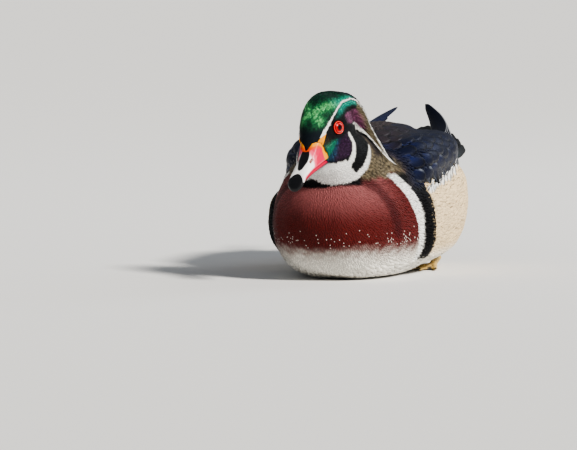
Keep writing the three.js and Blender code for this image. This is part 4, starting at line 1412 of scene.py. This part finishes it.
def makeEyes():
    for sideName, mirror in (("left", 1), ("right", -1)):
        flip = np.array([1, mirror, 1])
        look = unit(np.array(eyeShape["look"]) * flip)
        middle = np.array(eyeShape["surface"]) * flip + look * (eyeShape["apex"] - eyeShape["ball"])
        mesh, r, a = eyeballMesh(sideName, look, middle)
        streak = 0.82 + 0.18 * np.sin(a * 23) * np.sin(a * 7 + 1)
        # painted highlight: a pale pink rim round the iris, on one side of the eye only
        pale = smooth(-0.6, 0.8, np.cos(a + 2.4 * mirror))
        rgb = np.array(paint["iris"]) * (streak * (0.75 + 0.35 * smooth(2.0, 3.8, r)))[:, None]
        rgb = mix(rgb, paint["irisInner"], smooth(2.9, 2.2, r))
        rgb = mix(rgb, paint["pupil"], smooth(eyeShape["pupil"] + 0.12, eyeShape["pupil"] - 0.12, r))
        rgb = mix(rgb, paint["irisHighlight"], 0.75 * smooth(eyeShape["iris"] - 0.1, eyeShape["iris"] + 0.15, r) * pale)
        rgb = mix(rgb, paint["eyeRim"], smooth(eyeShape["ring"] - 0.1, eyeShape["ring"] + 0.25, r))
        finish(addObject("eyeball_" + sideName, mesh), rgb, "eye", ["eye_" + sideName])
        lid = addObject("lid_" + sideName, mergedCopy("eyelid_" + sideName))
        mod = lid.modifiers.new("round", "SUBSURF")
        mod.levels = mod.render_levels = eyeShape["lidRounding"]
        evaluatedCopy(lid)
        finish(lid, np.tile(paint["eyelid"], (len(lid.data.vertices), 1)), "eyelid", ["eyelid_" + sideName])


footShape = {  # millimetres; each toe is (degrees outward, length)
    "voxel": 0.55, "smoothing": 5, "toes": [(-15, 41), (0, 47), (17, 38)], "middle": 47, "root": 192,
    "claw": 4.2, "clawRadius": 1.05, "clawRings": 4, "clawSides": 8,
}


def makeClaws(sideName, mirror):
    rings, sides = footShape["clawRings"], footShape["clawSides"]
    bm = bmesh.new()
    for spread, length in footShape["toes"]:
        t = math.radians(spread)
        ahead = Vector((mirror * math.sin(t), -math.cos(t), 0))
        aside = Vector((ahead.y, -ahead.x, 0))
        start = Vector((mirror * footShape["middle"], breastY + footShape["root"], 1.9)) + ahead * (length - 0.8)
        before = len(bm.verts)
        for k in range(rings + 1):
            w = k / rings
            middle = start + ahead * footShape["claw"] * w + Vector((0, 0, 0.5 * math.sin(w * 2.6) - 0.9 * w))
            r = footShape["clawRadius"] * (1 - w) ** 0.7 + 0.05
            for j in range(sides):
                q = 2 * math.pi * j / sides
                bm.verts.new((middle + (aside * math.cos(q) + Vector((0, 0, math.sin(q) * 0.85))) * r) * mm)
        bm.verts.ensure_lookup_table()
        for k in range(rings):
            for j in range(sides):
                a, b = before + k * sides + j, before + k * sides + (j + 1) % sides
                bm.faces.new([bm.verts[i] for i in (a, b, b + sides, a + sides)])
        bm.faces.new([bm.verts[before + j] for j in range(sides)])
        bm.faces.new([bm.verts[before + rings * sides + j] for j in range(sides)])
    bmesh.ops.recalc_face_normals(bm, faces=bm.faces)
    mesh = bpy.data.meshes.new("claws")
    bm.to_mesh(mesh)
    bm.free()
    v = readMesh(mesh)
    v[:, 2] = np.maximum(v[:, 2], 0)
    writeVertices(mesh, v)
    setColour(mesh, "Plumage", np.tile(paint["claw"], (len(v), 1)))
    mesh.materials.append(hard["bill"])
    shadeSmooth(mesh)
    claws = addObject("claws_" + sideName, mesh)
    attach(claws, "root")
    print(claws.name + ":", len(mesh.polygons), "faces")


def makeFeet():
    for sideName, mirror in (("left", 1), ("right", -1)):
        obj = remeshed("webbedFoot_" + sideName, mergedCopy("foot_" + sideName), footShape["voxel"])
        v = relax(readMesh(obj.data) / mm, edgesOf(obj.data), footShape["smoothing"])
        v[:, 2] = np.maximum(v[:, 2], 0)
        writeVertices(obj.data, v * mm)
        toe = np.full(len(v), 99.0)
        run = np.zeros(len(v))
        for spread, length in footShape["toes"]:
            t = math.radians(spread)
            a = np.array((mirror * footShape["middle"], breastY + footShape["root"]))
            b = a + np.array((mirror * math.sin(t), -math.cos(t))) * length
            gap, along = lineDistance(v[:, :2], [a, b])
            nearer = gap < toe
            toe[nearer], run[nearer] = gap[nearer], along[nearer] * length
        scutes = smooth(0.2, 0.6, np.abs(np.sin(run * 1.25)))
        rgb = mix(paint["web"], paint["toe"], smooth(3.6, 2.4, toe))
        rgb = mix(rgb, paint["toe"], smooth(190, 194, toBody(v)[:, 0]))
        finish(obj, rgb * (0.72 + 0.28 * scutes)[:, None], "foot", ["foot_" + sideName])
        makeClaws(sideName, mirror)


makeBill()
makeEyes()
makeFeet()


# light, floor and camera


view = {  # degrees, millimetres and pixels; aim is the place that shows at aimPixel
    "azimuth": 16, "elevation": 4.5, "distance": 8000, "pixelsPerMm": 1.18,
    "aim": (0, -76.5, 38), "aimPixel": (347.5, 231), "frame": (577, 450), "look": "AgX - Medium High Contrast",
}


def addCamera():
    az, el = math.radians(view["azimuth"]), math.radians(view["elevation"])
    right = Vector((math.cos(az), math.sin(az), 0))
    back = Vector((math.sin(az) * math.cos(el), -math.cos(az) * math.cos(el), math.sin(el)))
    up = back.cross(right)
    perMm, distance = view["pixelsPerMm"], view["distance"]
    (x, y), (width, height) = view["aimPixel"], view["frame"]
    centre = Vector(view["aim"]) + right * ((width / 2 - x) / perMm) + up * ((y - height / 2) / perMm)
    cam = bpy.data.cameras.new("camera")
    cam.sensor_width = 36
    cam.lens = cam.sensor_width * distance / (width / perMm)
    cam.clip_end = 50
    obj = bpy.data.objects.new("camera", cam)
    obj.matrix_world = Matrix.Translation((centre + back * distance) * mm) @ Matrix((right, up, back)).transposed().to_4x4()
    bpy.context.scene.collection.objects.link(obj)
    bpy.context.scene.camera = obj
    bpy.context.scene.view_settings.look = view["look"]


studio = {
    "floor": (0.74, 0.735, 0.72, 1), "floorReach": 60, "air": (0.80, 0.84, 0.90, 1), "airStrength": 0.30,
    "key": {"from": (1.25, -0.62, 1.05), "strength": 5.9, "angle": 9, "colour": (1, 0.965, 0.91)},
    "rim": {"place": (0.9, 1.2, 0.9), "aim": (0, -0.05, 0.07), "size": 0.8, "strength": 7, "colour": (0.9, 0.95, 1)},
}


def addLight(name, kind, direction):
    light = bpy.data.lights.new(name, kind)
    light.energy = studio[name]["strength"]
    light.color = studio[name]["colour"]
    obj = bpy.data.objects.new(name, light)
    obj.rotation_euler = Vector(direction).to_track_quat("Z", "Y").to_euler()
    bpy.context.scene.collection.objects.link(obj)
    return obj, light


def addStage():
    mat = bpy.data.materials.new("pale floor")
    mat.use_nodes = True
    shader = mat.node_tree.nodes["Principled BSDF"]
    shader.inputs["Base Color"].default_value = studio["floor"]
    shader.inputs["Roughness"].default_value = 0.9
    mesh = bpy.data.meshes.new("floor")
    reach = studio["floorReach"]
    mesh.from_pydata([(x * reach, y * reach, -0.0002) for x, y in ((-1, -1), (1, -1), (1, 1), (-1, 1))], [], [(0, 1, 2, 3)])
    mesh.materials.append(mat)
    floor = addObject("floor", mesh)
    world = bpy.data.worlds.new("studio")
    bpy.context.scene.world = world
    world.use_nodes = True
    world.node_tree.nodes["Background"].inputs[0].default_value = studio["air"]
    world.node_tree.nodes["Background"].inputs[1].default_value = studio["airStrength"]
    _, light = addLight("key", "SUN", studio["key"]["from"])
    light.angle = math.radians(studio["key"]["angle"])
    rim = studio["rim"]
    obj, light = addLight("rim", "AREA", Vector(rim["place"]) - Vector(rim["aim"]))
    obj.location = rim["place"]
    light.size = rim["size"]
    print("stage: floor, key and rim lights, camera")


addCamera()
addStage()

for obj in vanes.values():
    bpy.data.objects.remove(obj)
